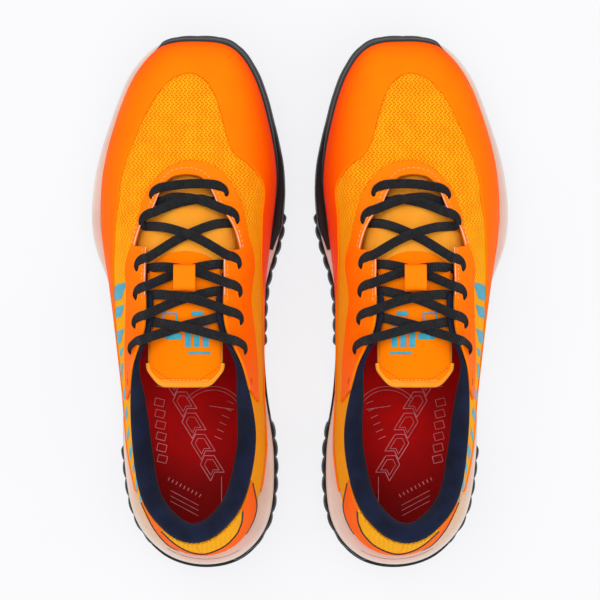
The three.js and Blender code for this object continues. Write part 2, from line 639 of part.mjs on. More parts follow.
// ---------------------------------------------------------------- one shoe, then the pair
piece('outsole', outsole(), 'rubber');
piece('midsole', midsole(), 'foam');
piece('toe_rand', rand(), 'rubber');
piece('board', board(), 'board');
piece('insole', insole(), 'insole');
piece('vamp_knit', knitPart(-VAMP_SEAM, VAMP_SEAM), 'knit');
piece('outer_quarter', knitPart(VAMP_SEAM + SEAM_GAP, BACK_SEAM - SEAM_GAP), 'knit');
piece('inner_quarter', knitPart(-BACK_SEAM + SEAM_GAP, -VAMP_SEAM - SEAM_GAP), 'knit');
piece('back_knit', knitPart(BACK_SEAM, 2 * HEEL_RIB - BACK_SEAM), 'knit');
piece('toe_film', film(-4.15, 4.75, toeFilmTop), 'toeFilm');
piece('outer_film', film(4.8, 9.6, outerFilmTop), 'film');
piece('inner_film', film(-9.6, -4.2, innerFilmTop), 'film');
piece('heel_film', film(9.65, 14.35, heelFilmTop), 'film');
piece('heel_tab', heelTab(), 'tab');
piece('heel_piping', heelPiping(), 'piping');
piece('heel_counter', counter(), 'board');
piece('collar_lining', lining(), 'lining');
piece('eyestay', eyestay(), 'stay');
piece('throat_piping', throatPiping(), 'edge');
piece('tongue', tongue(), 'tongue');
piece('tongue_patch', patch(), 'stay');
piece('tongue_binding', binding(), 'binding');
piece('lace_keeper', keeper(), 'stay');
piece('lace', lace(), 'lace');
piece('outer_aglet', aglet(laceRoute[0], laceRoute[1]), 'aglet');
piece('inner_aglet', aglet(laceRoute.at(-1), laceRoute.at(-2)), 'aglet');

const pair = new THREE.Group();
for (const [side, mirror] of [['right', 1], ['left', -1]]) {
  const oneShoe = new THREE.Group();
  oneShoe.scale.x = mirror;
  oneShoe.position.x = (mirror * SHOE_SPACING) / 2;
  for (const { name, geometry, color, roughness } of nodes) {
    const material = new THREE.MeshStandardMaterial({ color, roughness, metalness: 0 });
    const mesh = new THREE.Mesh(geometry, material);
    mesh.name = `${side}_${name}`;
    oneShoe.add(mesh);
  }
  pair.add(oneShoe);
}

export default pair;
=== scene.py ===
"""Looks of a pair of low-cut lace-up sports shoes.

Lengths in this script are millimetres on one right shoe, with x = 0 on its centre plane. The left
shoe is its mirror image. place() turns them into metres in the frame.
"""

import math

import bpy
import numpy as np
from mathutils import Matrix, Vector
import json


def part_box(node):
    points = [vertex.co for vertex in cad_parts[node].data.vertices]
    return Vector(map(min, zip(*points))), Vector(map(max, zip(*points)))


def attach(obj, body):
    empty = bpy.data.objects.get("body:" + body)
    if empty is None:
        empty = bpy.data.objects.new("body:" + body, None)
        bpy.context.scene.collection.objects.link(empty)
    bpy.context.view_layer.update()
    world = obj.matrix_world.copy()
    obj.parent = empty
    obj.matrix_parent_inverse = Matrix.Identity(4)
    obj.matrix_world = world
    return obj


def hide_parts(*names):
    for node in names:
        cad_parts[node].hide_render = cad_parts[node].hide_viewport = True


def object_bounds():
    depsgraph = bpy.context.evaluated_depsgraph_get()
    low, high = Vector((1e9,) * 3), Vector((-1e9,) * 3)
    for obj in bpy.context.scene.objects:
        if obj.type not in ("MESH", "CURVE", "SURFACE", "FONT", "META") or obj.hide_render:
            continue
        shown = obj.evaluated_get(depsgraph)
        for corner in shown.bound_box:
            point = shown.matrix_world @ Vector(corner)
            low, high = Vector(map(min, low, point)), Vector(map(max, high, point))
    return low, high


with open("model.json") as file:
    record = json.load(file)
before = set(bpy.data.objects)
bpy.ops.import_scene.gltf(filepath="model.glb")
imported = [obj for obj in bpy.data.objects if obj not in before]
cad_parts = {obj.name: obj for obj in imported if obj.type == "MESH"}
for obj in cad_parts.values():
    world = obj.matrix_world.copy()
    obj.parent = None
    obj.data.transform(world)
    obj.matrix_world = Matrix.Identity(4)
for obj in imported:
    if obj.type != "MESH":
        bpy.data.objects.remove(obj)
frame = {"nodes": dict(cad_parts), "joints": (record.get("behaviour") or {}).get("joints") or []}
CAD_BOX = [list(corner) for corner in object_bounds()]

# ------------------------------------------------------------------ placing
JOINTS = {joint["name"]: joint for joint in frame["joints"]}
CENTRE = JOINTS["right_tongue_hinge"]["pos_m"][0]
DRAWN_BOARD = (92.819, 284.819)
DRAWN_HEIGHT = 113.4
board_low, board_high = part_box("right_board")
SCALE = np.array([
    (board_high.x - board_low.x) / DRAWN_BOARD[0],
    (board_high.y - board_low.y) / DRAWN_BOARD[1],
    (CAD_BOX[1][2] - CAD_BOX[0][2]) / DRAWN_HEIGHT,
])
SIDES = {"right": 1.0, "left": -1.0}


def place(points, side):
    metres = points * SCALE
    metres[:, 0] = (metres[:, 0] + CENTRE) * SIDES[side]
    return metres


# ------------------------------------------------------------------ shared sums
def alike(*values):
    """The values as float arrays of one shape."""
    return np.broadcast_arrays(*[np.asarray(value, float) for value in values])


def unit(vectors, least=0.0):
    return vectors / (np.linalg.norm(vectors, axis=-1, keepdims=True) + least)


def between(a, b, c, d, t):
    """A smooth curve from b (t = 0) to c (t = 1), with a before it and d after it."""
    return b + 0.5 * t * (c - a + t * (2 * a - 5 * b + 4 * c - d + t * (3 * (b - c) + d - a)))


def run_along(path):
    """The distance walked along a path to each of its points."""
    return np.concatenate([[0], np.cumsum(np.linalg.norm(np.diff(path, axis=0), axis=1))])


def signed_power(value, power):
    return np.sign(value) * np.abs(value) ** power


def smoothed(values, width, axis=0, mode="edge"):
    """Values averaged along an axis under a bell, over an odd number of neighbours."""
    bell = np.hanning(width)
    bell /= bell.sum()
    sides = [(width // 2, width // 2) if a == axis else (0, 0) for a in range(values.ndim)]
    return np.apply_along_axis(np.convolve, axis, np.pad(values, sides, mode=mode), bell, "valid")


# ------------------------------------------------------------------ the last
# Ribs run from the upper's lower edge (v = 0) to the throat or collar edge (v = 1). They are
# numbered from the toe tip (0) to the heel (12), positive on the outer side, negative on the inner.
# Rows: lower edge y, outer x, inner x, z; top edge y, outer x, inner x, rise; steepness, bulge,
# run-in, run-in drop; sole margin on the outer and inner side.
STATIONS = np.array([
    [147.0, -5.0, -5.0, 31.0, 68.3, 0.0, 0.0, 43.0, 25, 0.5, 36, 9, 2.6, 2.6],
    [143.8, 14.0, -24.5, 30.5, 68.0, 4.0, -3.8, 43.7, 25, 0.5, 34, 9, 2.4, 2.6],
    [127.0, 29.8, -37.2, 29.0, 66.9, 8.0, -7.4, 46.0, 24, 0.5, 30, 9, 1.9, 2.7],
    [99.0, 41.3, -45.6, 27.0, 63.0, 12.0, -11.5, 50.0, 24, 0.5, 24, 9, 2.0, 2.9],
    [70.0, 48.0, -49.4, 26.0, 56.0, 15.6, -15.0, 54.0, 24, 0.5, 20, 10, 3.4, 4.4],
    [40.0, 48.6, -46.4, 26.0, 41.0, 20.0, -19.5, 60.0, 26, 0.5, 17, 10, 4.4, 5.6],
    [8.0, 43.8, -42.8, 28.5, 14.0, 21.5, -20.0, 68.0, 30, 1.5, 15, 11, 1.0, 1.0],
    [-22.0, 39.5, -42.0, 31.0, -14.0, 21.5, -21.0, 74.0, 32, 2.5, 14, 14, 0.0, 0.0],
    [-52.0, 36.5, -42.5, 33.5, -40.0, 29.5, -32.0, 67.5, 30, 2.5, 4, 18, 0.5, 1.0],
    [-88.0, 33.5, -43.5, 36.5, -76.0, 30.5, -38.5, 42.5, 18, 2.0, 1, 12, 3.0, 5.0],
    [-120.0, 25.0, -37.5, 38.0, -110.0, 24.8, -32.5, 52.0, 22, 1.5, 1, 14, 6.0, 9.0],
    [-137.5, 10.5, -26.5, 38.0, -128.5, 11.0, -19.0, 61.5, 24, 1.5, 1, 16, 6.5, 8.0],
    [-143.5, -8.5, -8.5, 38.0, -134.5, -4.0, -4.0, 64.0, 26, 1.5, 1, 16, 6.5, 6.5],
])
HEEL = 12


def make_ribs():
    rows = []
    for number in list(range(HEEL + 1)) + list(range(HEEL - 1, 0, -1)):
        outer = len(rows) <= HEEL
        s = STATIONS[number]
        base = np.array([s[1] if outer else s[2], s[0], s[3]])
        top = np.array([s[5] if outer else s[6], s[4], s[3] + s[7]])
        away = base - top
        away[2] = 0
        away /= np.linalg.norm(away)
        lower = base + away * s[9] + [0, 0, s[8]]
        upper = top + away * s[10] - [0, 0, s[11]]
        rows.append([base, lower, upper, top, [s[12] if outer else s[13]] * 3])
    return np.array(rows).transpose(1, 0, 2)


RIBS = make_ribs()


def rib_value(which, p):
    control = RIBS[which]
    p = np.asarray(p, float) % len(control)
    k = np.floor(p).astype(int)
    t = (p - k)[..., None]
    a, b, c, d = (control[(k + i) % len(control)] for i in (-1, 0, 1, 2))
    return between(a, b, c, d, t)


def bare_skin(p, v):
    base, lower, upper, top = (rib_value(k, p) for k in range(4))
    v = v[..., None]
    u = 1 - v
    return u**3 * base + 3 * u * u * v * lower + 3 * u * v * v * upper + v**3 * top


def skin_normal(p, v):
    step = 0.004
    along = bare_skin(p + step, v) - bare_skin(p - step, v)
    up = bare_skin(p, v + step) - bare_skin(p, v - step)
    return unit(np.cross(up, along))


def skin(p, v, offset=0.0):
    """Points on the upper at ribs p, shares v of the way up, an offset outside its surface."""
    p, v, offset = alike(p, v, offset)
    return bare_skin(p, v) + skin_normal(p, v) * offset[..., None]


def sole_edge(p, margin):
    """Points at height 0, a margin outside the upper's lower edge."""
    p, margin = alike(p, margin)
    base = rib_value(0, p)
    along = rib_value(0, p + 0.02) - rib_value(0, p - 0.02)
    along[..., 2] = 0
    along = unit(along)
    x = base[..., 0] - along[..., 1] * margin
    y = base[..., 1] + along[..., 0] * margin
    return np.stack([x, y, np.zeros_like(x)], -1)


def sole_edges(s, margin):
    """The outer and the inner sole edge at ribs s, with the margin a function of the rib."""
    return sole_edge(s, margin(s)), sole_edge(-s, margin(-s))


def sole_margin(p):
    return rib_value(4, p)[..., 0]


def feather(p):
    return rib_value(0, p)[..., 2]


def tread(y):
    toe = np.clip((y - 62) / 87.5, 0, 1.1)
    heel = np.clip((-y - 122) / 27.5, 0, 1.1)
    return 7.0 * toe**2 + 3.0 * heel**2


def ease(x, low, high):
    t = np.clip((x - low) / (high - low), 0, 1)
    return t * t * (3 - 2 * t)


def line(*points):
    """An edge drawn on the upper: a smooth curve through (rib, share) points."""
    xs, ys = np.array(points, float).T
    slope = np.gradient(ys, xs)

    def value(p):
        p = np.clip(np.asarray(p, float), xs[0], xs[-1])
        k = np.clip(np.searchsorted(xs, p) - 1, 0, len(xs) - 2)
        h = xs[k + 1] - xs[k]
        t = (p - xs[k]) / h
        return (
            (1 + 2 * t) * (1 - t) ** 2 * ys[k]
            + t * (1 - t) ** 2 * h * slope[k]
            + t * t * (3 - 2 * t) * ys[k + 1]
            + t * t * (t - 1) * h * slope[k + 1]
        )

    return value


# ------------------------------------------------------------------ mesh helpers
def grid(points, uv=None, wrap_j=False, flip=False, mark=None):
    """A quad grid. uv has one more column than points where the grid wraps."""
    ni, nj = points.shape[:2]
    rows, cols = ni - 1, nj - (not wrap_j)
    i, j = (a.ravel() for a in np.meshgrid(np.arange(rows), np.arange(cols), indexing="ij"))
    steps = [(0, 0), (0, 1), (1, 1), (1, 0)]
    if flip:
        steps = steps[::-1]
    faces = np.stack([(i + a) * nj + (j + b) % nj for a, b in steps], 1)
    if uv is None:
        uv = np.zeros((rows + 1, cols + 1, 2))
    corner = np.stack([uv[i + a, j + b] for a, b in steps], 1)
    mark = np.zeros(ni * nj) if mark is None else mark.ravel()
    return points.reshape(-1, 3), faces, corner, mark


def joined(parts):
    points, faces, corners, marks = zip(*parts)
    starts = np.cumsum([0] + [len(p) for p in points[:-1]])
    faces = [f + start for f, start in zip(faces, starts)]
    return tuple(np.concatenate(each) for each in (points, faces, corners, marks))


def mesh_object(name, part, side, material):
    points, faces, corners, marks = part
    if side == "left":
        faces = faces[:, ::-1]
        corners = corners[:, ::-1]
    mesh = bpy.data.meshes.new(name)
    mesh.vertices.add(len(points))
    mesh.vertices.foreach_set("co", place(points, side).ravel())
    mesh.loops.add(faces.size)
    mesh.loops.foreach_set("vertex_index", faces.ravel().astype(np.int32))
    mesh.polygons.add(len(faces))
    mesh.polygons.foreach_set("loop_start", np.arange(0, faces.size, 4, dtype=np.int32))
    mesh.polygons.foreach_set("loop_total", np.full(len(faces), 4, dtype=np.int32))
    layer = mesh.uv_layers.new(name="weave")
    layer.data.foreach_set("uv", corners.reshape(-1, 2).astype(np.float32).ravel())
    mark = mesh.attributes.new("mark", "FLOAT", "POINT")
    mark.data.foreach_set("value", marks.astype(np.float32))
    mesh.update(calc_edges=True)
    mesh.validate(clean_customdata=False)
    mesh.polygons.foreach_set("use_smooth", [True] * len(mesh.polygons))
    mesh.materials.append(material)
    thing = bpy.data.objects.new(name, mesh)
    bpy.context.scene.collection.objects.link(thing)
    return thing


def both(name, parts, material, nodes=(), body="shoe"):
    """The piece on both shoes, riding its body and standing for its CAD nodes."""
    part = joined(parts if isinstance(parts, list) else [parts])
    made = []
    for side in SIDES:
        piece = mesh_object(f"{side}_{name}_visual", part, side, material)
        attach(piece, f"{side}_{body}")
        if nodes:
            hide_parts(*[f"{side}_{node}" for node in nodes])
        made.append(piece)
    return made


def fabric_uv(points, p):
    """Flat weave coordinates in millimetres: along the shoe, and round its girth."""
    rib = np.abs((np.asarray(p) + HEEL) % (2 * HEEL) - HEEL)
    turn = ease(rib, 0.5, 2.5) * ease(HEEL - rib, 0.4, 1.8)
    x, y, z = points[..., 0], points[..., 1], points[..., 2]
    return np.stack([y - z * (1 - turn) * np.sign(y), np.abs(x) - z * turn], -1)


CLOTH_STEP = 4
CLOTH_FRAMES = 20
CLOTH_PRESSURE = 4.0


def refined(moved, known_at, count, axis):
    """Movements known at some rows or columns, worked out for all of them."""
    return np.apply_along_axis(lambda known: np.interp(np.arange(count), known_at, known), axis, moved)


def swollen(points, held, cap):
    """A loft's points after a coarser copy of it swells as cloth, held where told.

    No point moves further than the cap.
    """
    ni, nj = points.shape[:2]
    rows = np.unique(np.append(np.arange(0, ni, CLOTH_STEP), ni - 1))
    coarse = points[rows][:, ::CLOTH_STEP]
    pad = mesh_object("pad", grid(coarse, wrap_j=True), "right", bpy.data.materials.new("pad"))
    group = pad.vertex_groups.new(name="held")
    group.add(np.flatnonzero(held[rows][:, ::CLOTH_STEP].ravel()).tolist(), 1.0, "REPLACE")
    cloth = pad.modifiers.new("cloth", "CLOTH")
    cloth.settings.quality = 6
    cloth.settings.use_pressure = True
    cloth.settings.uniform_pressure_force = CLOTH_PRESSURE
    cloth.settings.vertex_group_mass = "held"
    cloth.settings.effector_weights.gravity = 0.0
    cloth.point_cache.frame_start, cloth.point_cache.frame_end = 1, CLOTH_FRAMES
    scene = bpy.context.scene
    for number in range(1, CLOTH_FRAMES + 1):
        scene.frame_set(number)
    shape = pad.evaluated_get(bpy.context.evaluated_depsgraph_get()).to_mesh()
    after = np.empty(len(shape.vertices) * 3)
    shape.vertices.foreach_get("co", after)
    moved = (after.reshape(-1, 3) - place(coarse.reshape(-1, 3), "right")) / SCALE
    mesh = pad.data
    bpy.data.objects.remove(pad)
    bpy.data.meshes.remove(mesh)
    scene.frame_set(1)
    far = np.linalg.norm(moved, axis=1, keepdims=True) + 1e-9
    moved = (moved * cap * np.tanh(far / cap) / far).reshape(coarse.shape)
    moved = refined(moved, rows, ni, 0)
    columns = np.arange(0, nj + CLOTH_STEP, CLOTH_STEP)
    moved = np.concatenate([moved, moved[:, :1]], 1)[:, : len(columns)]
    moved = refined(moved, columns, nj, 1)
    for axis, mode in ((0, "edge"), (1, "wrap")):
        moved = smoothed(moved, 7, axis, mode)
    return points + moved


RIM_REACH = np.array([0.0, 0.05, 0.22, 0.6])
RIM_RISE = np.array([-0.15, 0.5, 0.86, 1.0])
RIB_PITCH = 26.0


def patch(p0, p1, low, high, thick, base, step, shape=None):
    """A film lying on the upper between two edge lines, with rounded edges."""
    reach = RIM_REACH / RIB_PITCH
    ends = [p0 + reach, p1 - reach[::-1]]
    columns = max(6, int((p1 - p0) * RIB_PITCH / step))
    inner = np.linspace(p0 + reach[-1], p1 - reach[-1], columns)[1:-1]
    p = np.concatenate([ends[0], inner, ends[1]])
    lo, hi = low(p), high(p)
    width = np.linalg.norm(bare_skin(p, hi) - bare_skin(p, lo), axis=-1) + 1e-6
    rows = np.linspace(0, 1, max(6, int(np.max(width) / step)))[1:-1]
    edge = np.minimum(RIM_REACH[None, :] / width[:, None], 0.45)
    middle = edge[:, -1:] + (1 - 2 * edge[:, -1:]) * rows[None, :]
    t = np.concatenate([edge, middle, 1 - edge[:, ::-1]], 1)
    v = lo[:, None] + (hi - lo)[:, None] * t
    pp = np.broadcast_to(p[:, None], v.shape)
    rise = np.interp(np.minimum(t, 1 - t) * width[:, None], RIM_REACH, RIM_RISE)
    rise = np.minimum(rise, np.interp(np.minimum(pp - p0, p1 - pp), reach, RIM_RISE))
    offset = base + thick * rise
    mark = np.zeros(v.shape)
    if shape is not None:
        offset, mark = shape(pp, v, offset)
    points = skin(pp, v, offset)
    return grid(points, fabric_uv(bare_skin(pp, v), pp), mark=mark)


def catmull(points, spacing):
    """A smooth path through points, sampled about every spacing."""
    points = np.asarray(points, float)
    ends = np.vstack([2 * points[0] - points[1], points, 2 * points[-1] - points[-2]])
    path = []
    for k in range(1, len(ends) - 2):
        a, b, c, d = ends[k - 1 : k + 3]
        count = max(2, int(np.linalg.norm(c - b) / spacing))
        t = np.linspace(0, 1, count, endpoint=False)[:, None]
        path.append(between(a, b, c, d, t))
    path.append(points[-1:])
    return np.concatenate(path)


def sweep(path, section, wide_axis):
    """A section of (width, thickness) points carried along a path, its width near wide_axis."""
    tangent = unit(np.gradient(path, axis=0), 1e-12)
    wide = np.broadcast_to(np.asarray(wide_axis, float), path.shape)
    wide = unit(wide - tangent * np.sum(wide * tangent, 1, keepdims=True), 1e-9)
    thin = np.cross(tangent, wide)
    points = path[:, None] + wide[:, None] * section[:, :1] + thin[:, None] * section[:, 1:]
    around = np.linspace(0, 1, len(section) + 1)
    uv = np.stack(np.broadcast_arrays(run_along(path)[:, None], around[None, :]), -1)
    return grid(points, uv, wrap_j=True)


def oval(width, thickness, count, power=1.0):
    turn = np.linspace(0, 2 * np.pi, count, endpoint=False)
    return np.stack([width / 2 * signed_power(np.cos(turn), power),
                     thickness / 2 * signed_power(np.sin(turn), power)], 1)


def shrunk(part, path, sizes):
    """A swept part with its section shrunk about the path, from (row, size) pairs."""
    points = part[0].reshape(len(path), -1, 3)
    for row, size in sizes:
        points[row] = path[row] + (points[row] - path[row]) * size
    return (points.reshape(-1, 3),) + part[1:]


def tapered(path, radius):
    """A round cord with closed, rounded ends."""
    part = sweep(path, oval(2 * radius, 2 * radius, 10), (0.3, 0.2, 1.0))
    return shrunk(part, path, ((0, 0.15), (-1, 0.15)))


def stitches(path, length, gap, radius):
    """Short raised stitches along a path."""
    run = run_along(path)
    section = oval(2 * radius, 2 * radius, 6)
    parts = []
    start = 0.4
    while start + length < run[-1]:
        at = start + length * np.array([0, 0.15, 0.5, 0.85, 1.0])
        spots = np.stack([np.interp(at, run, path[:, k]) for k in range(3)], 1)
        part = sweep(spots, section, (0.2, 0.3, 1.0))
        parts.append(shrunk(part, spots, ((0, 0.2), (1, 0.85), (3, 0.85), (4, 0.2))))
        start += length + gap
    return parts


# ------------------------------------------------------------------ materials
class Nodes:
    """A small helper for building one shader."""

    def __init__(self, name):
        self.material = bpy.data.materials.new(name)
        self.material.use_nodes = True
        self.tree = self.material.node_tree
        self.shader = self.tree.nodes["Principled BSDF"]

    def add(self, kind, **settings):
        node = self.tree.nodes.new(kind)
        for key, value in settings.items():
            setattr(node, key, value)
        return node

    def link(self, source, target):
        self.tree.links.new(source, target)

    def feed(self, socket, value):
        if isinstance(value, bpy.types.NodeSocket):
            self.link(value, socket)
        else:
            socket.default_value = value

    def math(self, operation, a, b=0.0, c=0.0):
        node = self.add("ShaderNodeMath", operation=operation)
        for socket, value in zip(node.inputs, (a, b, c)):
            self.feed(socket, value)
        return node.outputs[0]

    def times(self, a, b):
        return self.math("MULTIPLY", a, b)

    def times_add(self, a, b, c):
        return self.math("MULTIPLY_ADD", a, b, c)

    def sine(self, value, factor):
        return self.math("SINE", self.times(value, factor))

    def mix(self, share, a, b):
        node = self.add("ShaderNodeMix", data_type="RGBA")
        self.feed(node.inputs[0], share)
        self.feed(node.inputs[6], a)
        self.feed(node.inputs[7], b)
        return node.outputs[2]

    def ramp(self, value, low, high):
        node = self.add("ShaderNodeMapRange", interpolation_type="SMOOTHSTEP")
        self.feed(node.inputs[0], value)
        node.inputs[1].default_value = low
        node.inputs[2].default_value = high
        return node.outputs[0]

    def split(self, vector):
        node = self.add("ShaderNodeSeparateXYZ")
        self.link(vector, node.inputs[0])
        return node.outputs

    def uv(self):
        return self.split(self.add("ShaderNodeUVMap", uv_map="weave").outputs[0])[:2]

    def noise(self, scale, detail=3.0):
        where = self.add("ShaderNodeTexCoord")
        node = self.add("ShaderNodeTexNoise")
        node.inputs["Scale"].default_value = scale
        node.inputs["Detail"].default_value = detail
        self.link(where.outputs["Object"], node.inputs["Vector"])
        return node.outputs[0]

    def cloud(self, scale, low=0.3, high=0.7, detail=3.0):
        return self.ramp(self.noise(scale, detail), low, high)

    def mark(self):
        return self.add("ShaderNodeAttribute", attribute_name="mark").outputs["Fac"]

    def facing_up(self):
        return self.split(self.add("ShaderNodeNewGeometry").outputs["Normal"])[2]

    def bump(self, height, distance, strength=1.0):
        node = self.add("ShaderNodeBump")
        node.inputs["Strength"].default_value = strength
        node.inputs["Distance"].default_value = distance
        self.link(height, node.inputs["Height"])
        return node.outputs[0]

    def finish(self, color, roughness=0.5, normal=None, sheen=0.0, specular=0.5):
        self.feed(self.shader.inputs["Base Color"], color)
        self.feed(self.shader.inputs["Roughness"], roughness)
        self.shader.inputs["Sheen Weight"].default_value = sheen
        self.shader.inputs["Specular IOR Level"].default_value = specular
        self.shader.inputs["IOR"].default_value = 1.2 if specular < 0.15 else 1.45
        if normal is not None:
            self.link(normal, self.shader.inputs["Normal"])
        return self.material


def srgb(red, green, blue):
    def one(value):
        value /= 255
        return value / 12.92 if value <= 0.04045 else ((value + 0.055) / 1.055) ** 2.4
    return (one(red), one(green), one(blue), 1.0)


def knit_material(name, light, dark, pitch):
    """Engineered mesh: staggered small holes, and slanting ribs where mark is 1. Steep sides carry a painted
    highlight, lighter and yellower than the top.
    """
    n = Nodes(name)
    where = n.add("ShaderNodeTexCoord")
    x, y, z = (n.times(axis, 1000.0) for axis in n.split(where.outputs["Object"]))
    normal = n.split(where.outputs["Normal"])
    side = n.ramp(n.math("ABSOLUTE", normal[0]), 0.6, 0.8)
    back = n.ramp(n.math("ABSOLUTE", normal[1]), 0.6, 0.8)
    mark = n.mark()

    def weave(u, v):
        zigzag = n.times(n.sine(u, math.pi / pitch[0]), 1.1)
        a = n.math("COSINE", n.times(u, 2 * math.pi / pitch[0]))
        b = n.math("COSINE", n.times_add(v, 2 * math.pi / pitch[1], zigzag))
        holes = n.ramp(n.times(a, b), 0.1, 0.7)
        slant = n.math("SINE", n.times_add(u, 2 * math.pi / 2.3, n.times(v, 2 * math.pi / 2.9)))
        ribs = n.times(n.ramp(slant, 0.1, 0.9), 0.7)
        return n.times_add(mark, n.math("SUBTRACT", ribs, holes), holes)

    top, flank, rear = weave(y, x), weave(y, z), weave(z, x)
    hole = n.times_add(side, n.math("SUBTRACT", flank, top), top)
    hole = n.times_add(back, n.math("SUBTRACT", rear, hole), hole)
    tint = n.mix(n.times(n.cloud(120.0), 0.25), light, dark)
    # Painted highlight: the steeper the surface, the more it is painted light yellow.
    painted_steep_shading = n.ramp(n.facing_up(), 0.7, 0.1)
    tint = n.mix(n.times(painted_steep_shading, 0.9), tint, srgb(255, 186, 26))
    color = n.mix(n.times(hole, 0.9), tint, dark)
    return n.finish(color, 0.8, n.bump(n.times(hole, -1.0), 0.00035), specular=0.12)


def film_material(name, painted_lit_top, painted_steep_shading, roughness=0.38):
    """Smooth welded film with painted shading: painted light makes it yellower where it faces up, painted
    shade makes it redder down the sides.
    """
    n = Nodes(name)
    lit_facing = n.ramp(n.facing_up(), 0.15, 0.97)
    cloud = n.cloud(60.0, 0.25, 0.75)
    # Painted shading: the side colour is painted shade, paler on the outer side where mark is 1, and it
    # blends to the painted-light top colour as the surface faces up.
    color = n.mix(lit_facing, n.mix(n.mark(), painted_steep_shading, srgb(255, 104, 0)), painted_lit_top)
    color = n.mix(n.times(cloud, 0.12), color, srgb(240, 84, 10))
    rough = n.times_add(cloud, 0.12, roughness)
    return n.finish(color, rough, n.bump(n.noise(1800.0, 2.0), 0.00005, 0.6), specular=0.03)


def stay_material():
    """Film with painted shading, redder down its steep sides, and dark painted shade inside the slits, where
    mark is 1.
    """
    n = Nodes("stay_film")
    # Painted shading: redder where the film turns down, lighter where it faces up.
    lit_facing = n.ramp(n.facing_up(), 0.3, 0.95)
    color = n.mix(lit_facing, srgb(255, 104, 2), srgb(255, 130, 12))
    color = n.mix(n.times(n.cloud(70.0, 0.3, 0.75), 0.1), color, srgb(255, 150, 30))
    # Painted shade: the pressed-in slits are painted near black-red where mark is 1.
    color = n.mix(n.mark(), color, srgb(40, 12, 12))
    return n.finish(color, 0.42, n.bump(n.noise(1500.0, 2.0), 0.00006, 0.6), specular=0.04)


def cloth_material(name, light, dark, thread, depth=0.12, sheen=0.3):
    """A fine plain weave, with its thread and depth in millimetres."""
    n = Nodes(name)
    weave = n.times(*(n.math("ABSOLUTE", n.sine(axis, math.pi / thread)) for axis in n.uv()))
    share = n.math("ADD", n.times(weave, 0.5), n.times(n.cloud(90.0), 0.3))
    color = n.mix(n.mark(), n.mix(share, dark, light), dark)
    return n.finish(color, 0.9, n.bump(weave, depth * 0.001), sheen=sheen, specular=0.2)


def lace_material():
    n = Nodes("lace_weave")
    u, v = n.uv()
    rib = n.sine(u, 2 * math.pi / 0.95)
    strand = n.sine(v, 2 * math.pi * 12)
    height = n.math("ADD", rib, n.times(strand, 0.5))
    share = n.times_add(rib, 0.25, n.times(n.noise(300.0), 0.6))
    color = n.mix(share, srgb(12, 12, 14), srgb(58, 58, 63))
    return n.finish(color, 0.85, n.bump(height, 0.00022), sheen=0.05, specular=0.2)


def rubber_material():
    n = Nodes("black_rubber")
    scuff = n.cloud(45.0, 0.55, 0.8, 6.0)
    color = n.mix(n.times(scuff, 0.4), srgb(24, 24, 26), srgb(56, 54, 54))
    rough = n.times_add(scuff, 0.2, 0.5)
    return n.finish(color, rough, n.bump(n.noise(900.0, 4.0), 0.0002, 0.7), specular=0.4)


def foam_material():
    n = Nodes("cream_foam")
    cloud = n.cloud(40.0, 0.3, 0.75, 5.0)
    color = n.mix(n.times(cloud, 0.6), srgb(224, 211, 202), srgb(212, 194, 182))
    cell = n.add("ShaderNodeTexVoronoi")
    cell.inputs["Scale"].default_value = 900.0
    where = n.add("ShaderNodeTexCoord")
    n.link(where.outputs["Object"], cell.inputs["Vector"])
    return n.finish(color, 0.6, n.bump(cell.outputs["Distance"], 0.00012, 0.6), specular=0.35)


def insole_material():
    """Red textile, with painted shade making it deeper toward the heel."""
    n = Nodes("insole_textile")
    u, v = n.uv()
    weave = n.times(n.sine(u, 7.0), n.sine(v, 7.0))
    # Painted shade: the red darkens toward the heel.
    color = n.mix(n.ramp(v, -60.0, -115.0), srgb(250, 10, 12), srgb(168, 0, 2))
    color = n.mix(n.times(n.cloud(50.0), 0.25), color, srgb(140, 20, 24))
    return n.finish(color, 0.85, n.bump(weave, 0.0001), sheen=0.1, specular=0.2)


def plain_material(name, light, dark, roughness):
    n = Nodes(name)
    cloud = n.cloud(200.0)
    return n.finish(n.mix(cloud, light, dark), roughness, n.bump(cloud, 0.00008, 0.5), specular=0.35)


# KNIT and TAB carry a painted highlight on their steep sides. The films carry painted light on top and
# painted shade down the sides.
KNIT = knit_material("knit", srgb(255, 172, 22), srgb(240, 98, 2), (1.95, 2.4))
TAB = knit_material("tab_mesh", srgb(255, 182, 40), srgb(250, 136, 10), (2.2, 2.6))
FILM = film_material("welded_film", srgb(255, 130, 8), srgb(255, 68, 0))
WING = film_material("wing_film", srgb(255, 134, 22), srgb(255, 104, 14), 0.45)
STAY = stay_material()
TONGUE_CLOTH = cloth_material("tongue_cloth", srgb(255, 184, 62), srgb(254, 152, 28), 0.6, sheen=0.0)
TONGUE_FILM = film_material("tongue_film", srgb(255, 128, 4), srgb(255, 64, 0), 0.42)
BINDING = cloth_material("binding_rib", srgb(255, 184, 60), srgb(246, 140, 22), 1.1, 0.3, sheen=0.0)
LINING = cloth_material("navy_lining", srgb(24, 36, 70), srgb(8, 11, 26), 0.41, 0.06, sheen=0.06)
LACE = lace_material()
RUBBER = rubber_material()
FOAM = foam_material()
INSOLE = insole_material()
INSOLE_PRINT = plain_material("insole_print", srgb(246, 160, 166), srgb(226, 128, 136), 0.6)
TEAL = plain_material("teal_print", srgb(40, 150, 172), srgb(60, 164, 190), 0.5)
THREAD = plain_material("pale_thread", srgb(255, 196, 160), srgb(250, 176, 130), 0.8)
SEAM = plain_material("orange_thread", srgb(226, 84, 8), srgb(196, 60, 8), 0.8)
EDGE = plain_material("pale_edge", srgb(255, 206, 186), srgb(250, 172, 152), 0.6)
PIPING = plain_material("dark_piping", srgb(48, 40, 48), srgb(30, 26, 34), 0.6)
BOARD = cloth_material("board_fibre", srgb(205, 198, 184), srgb(180, 172, 158), 1.2)
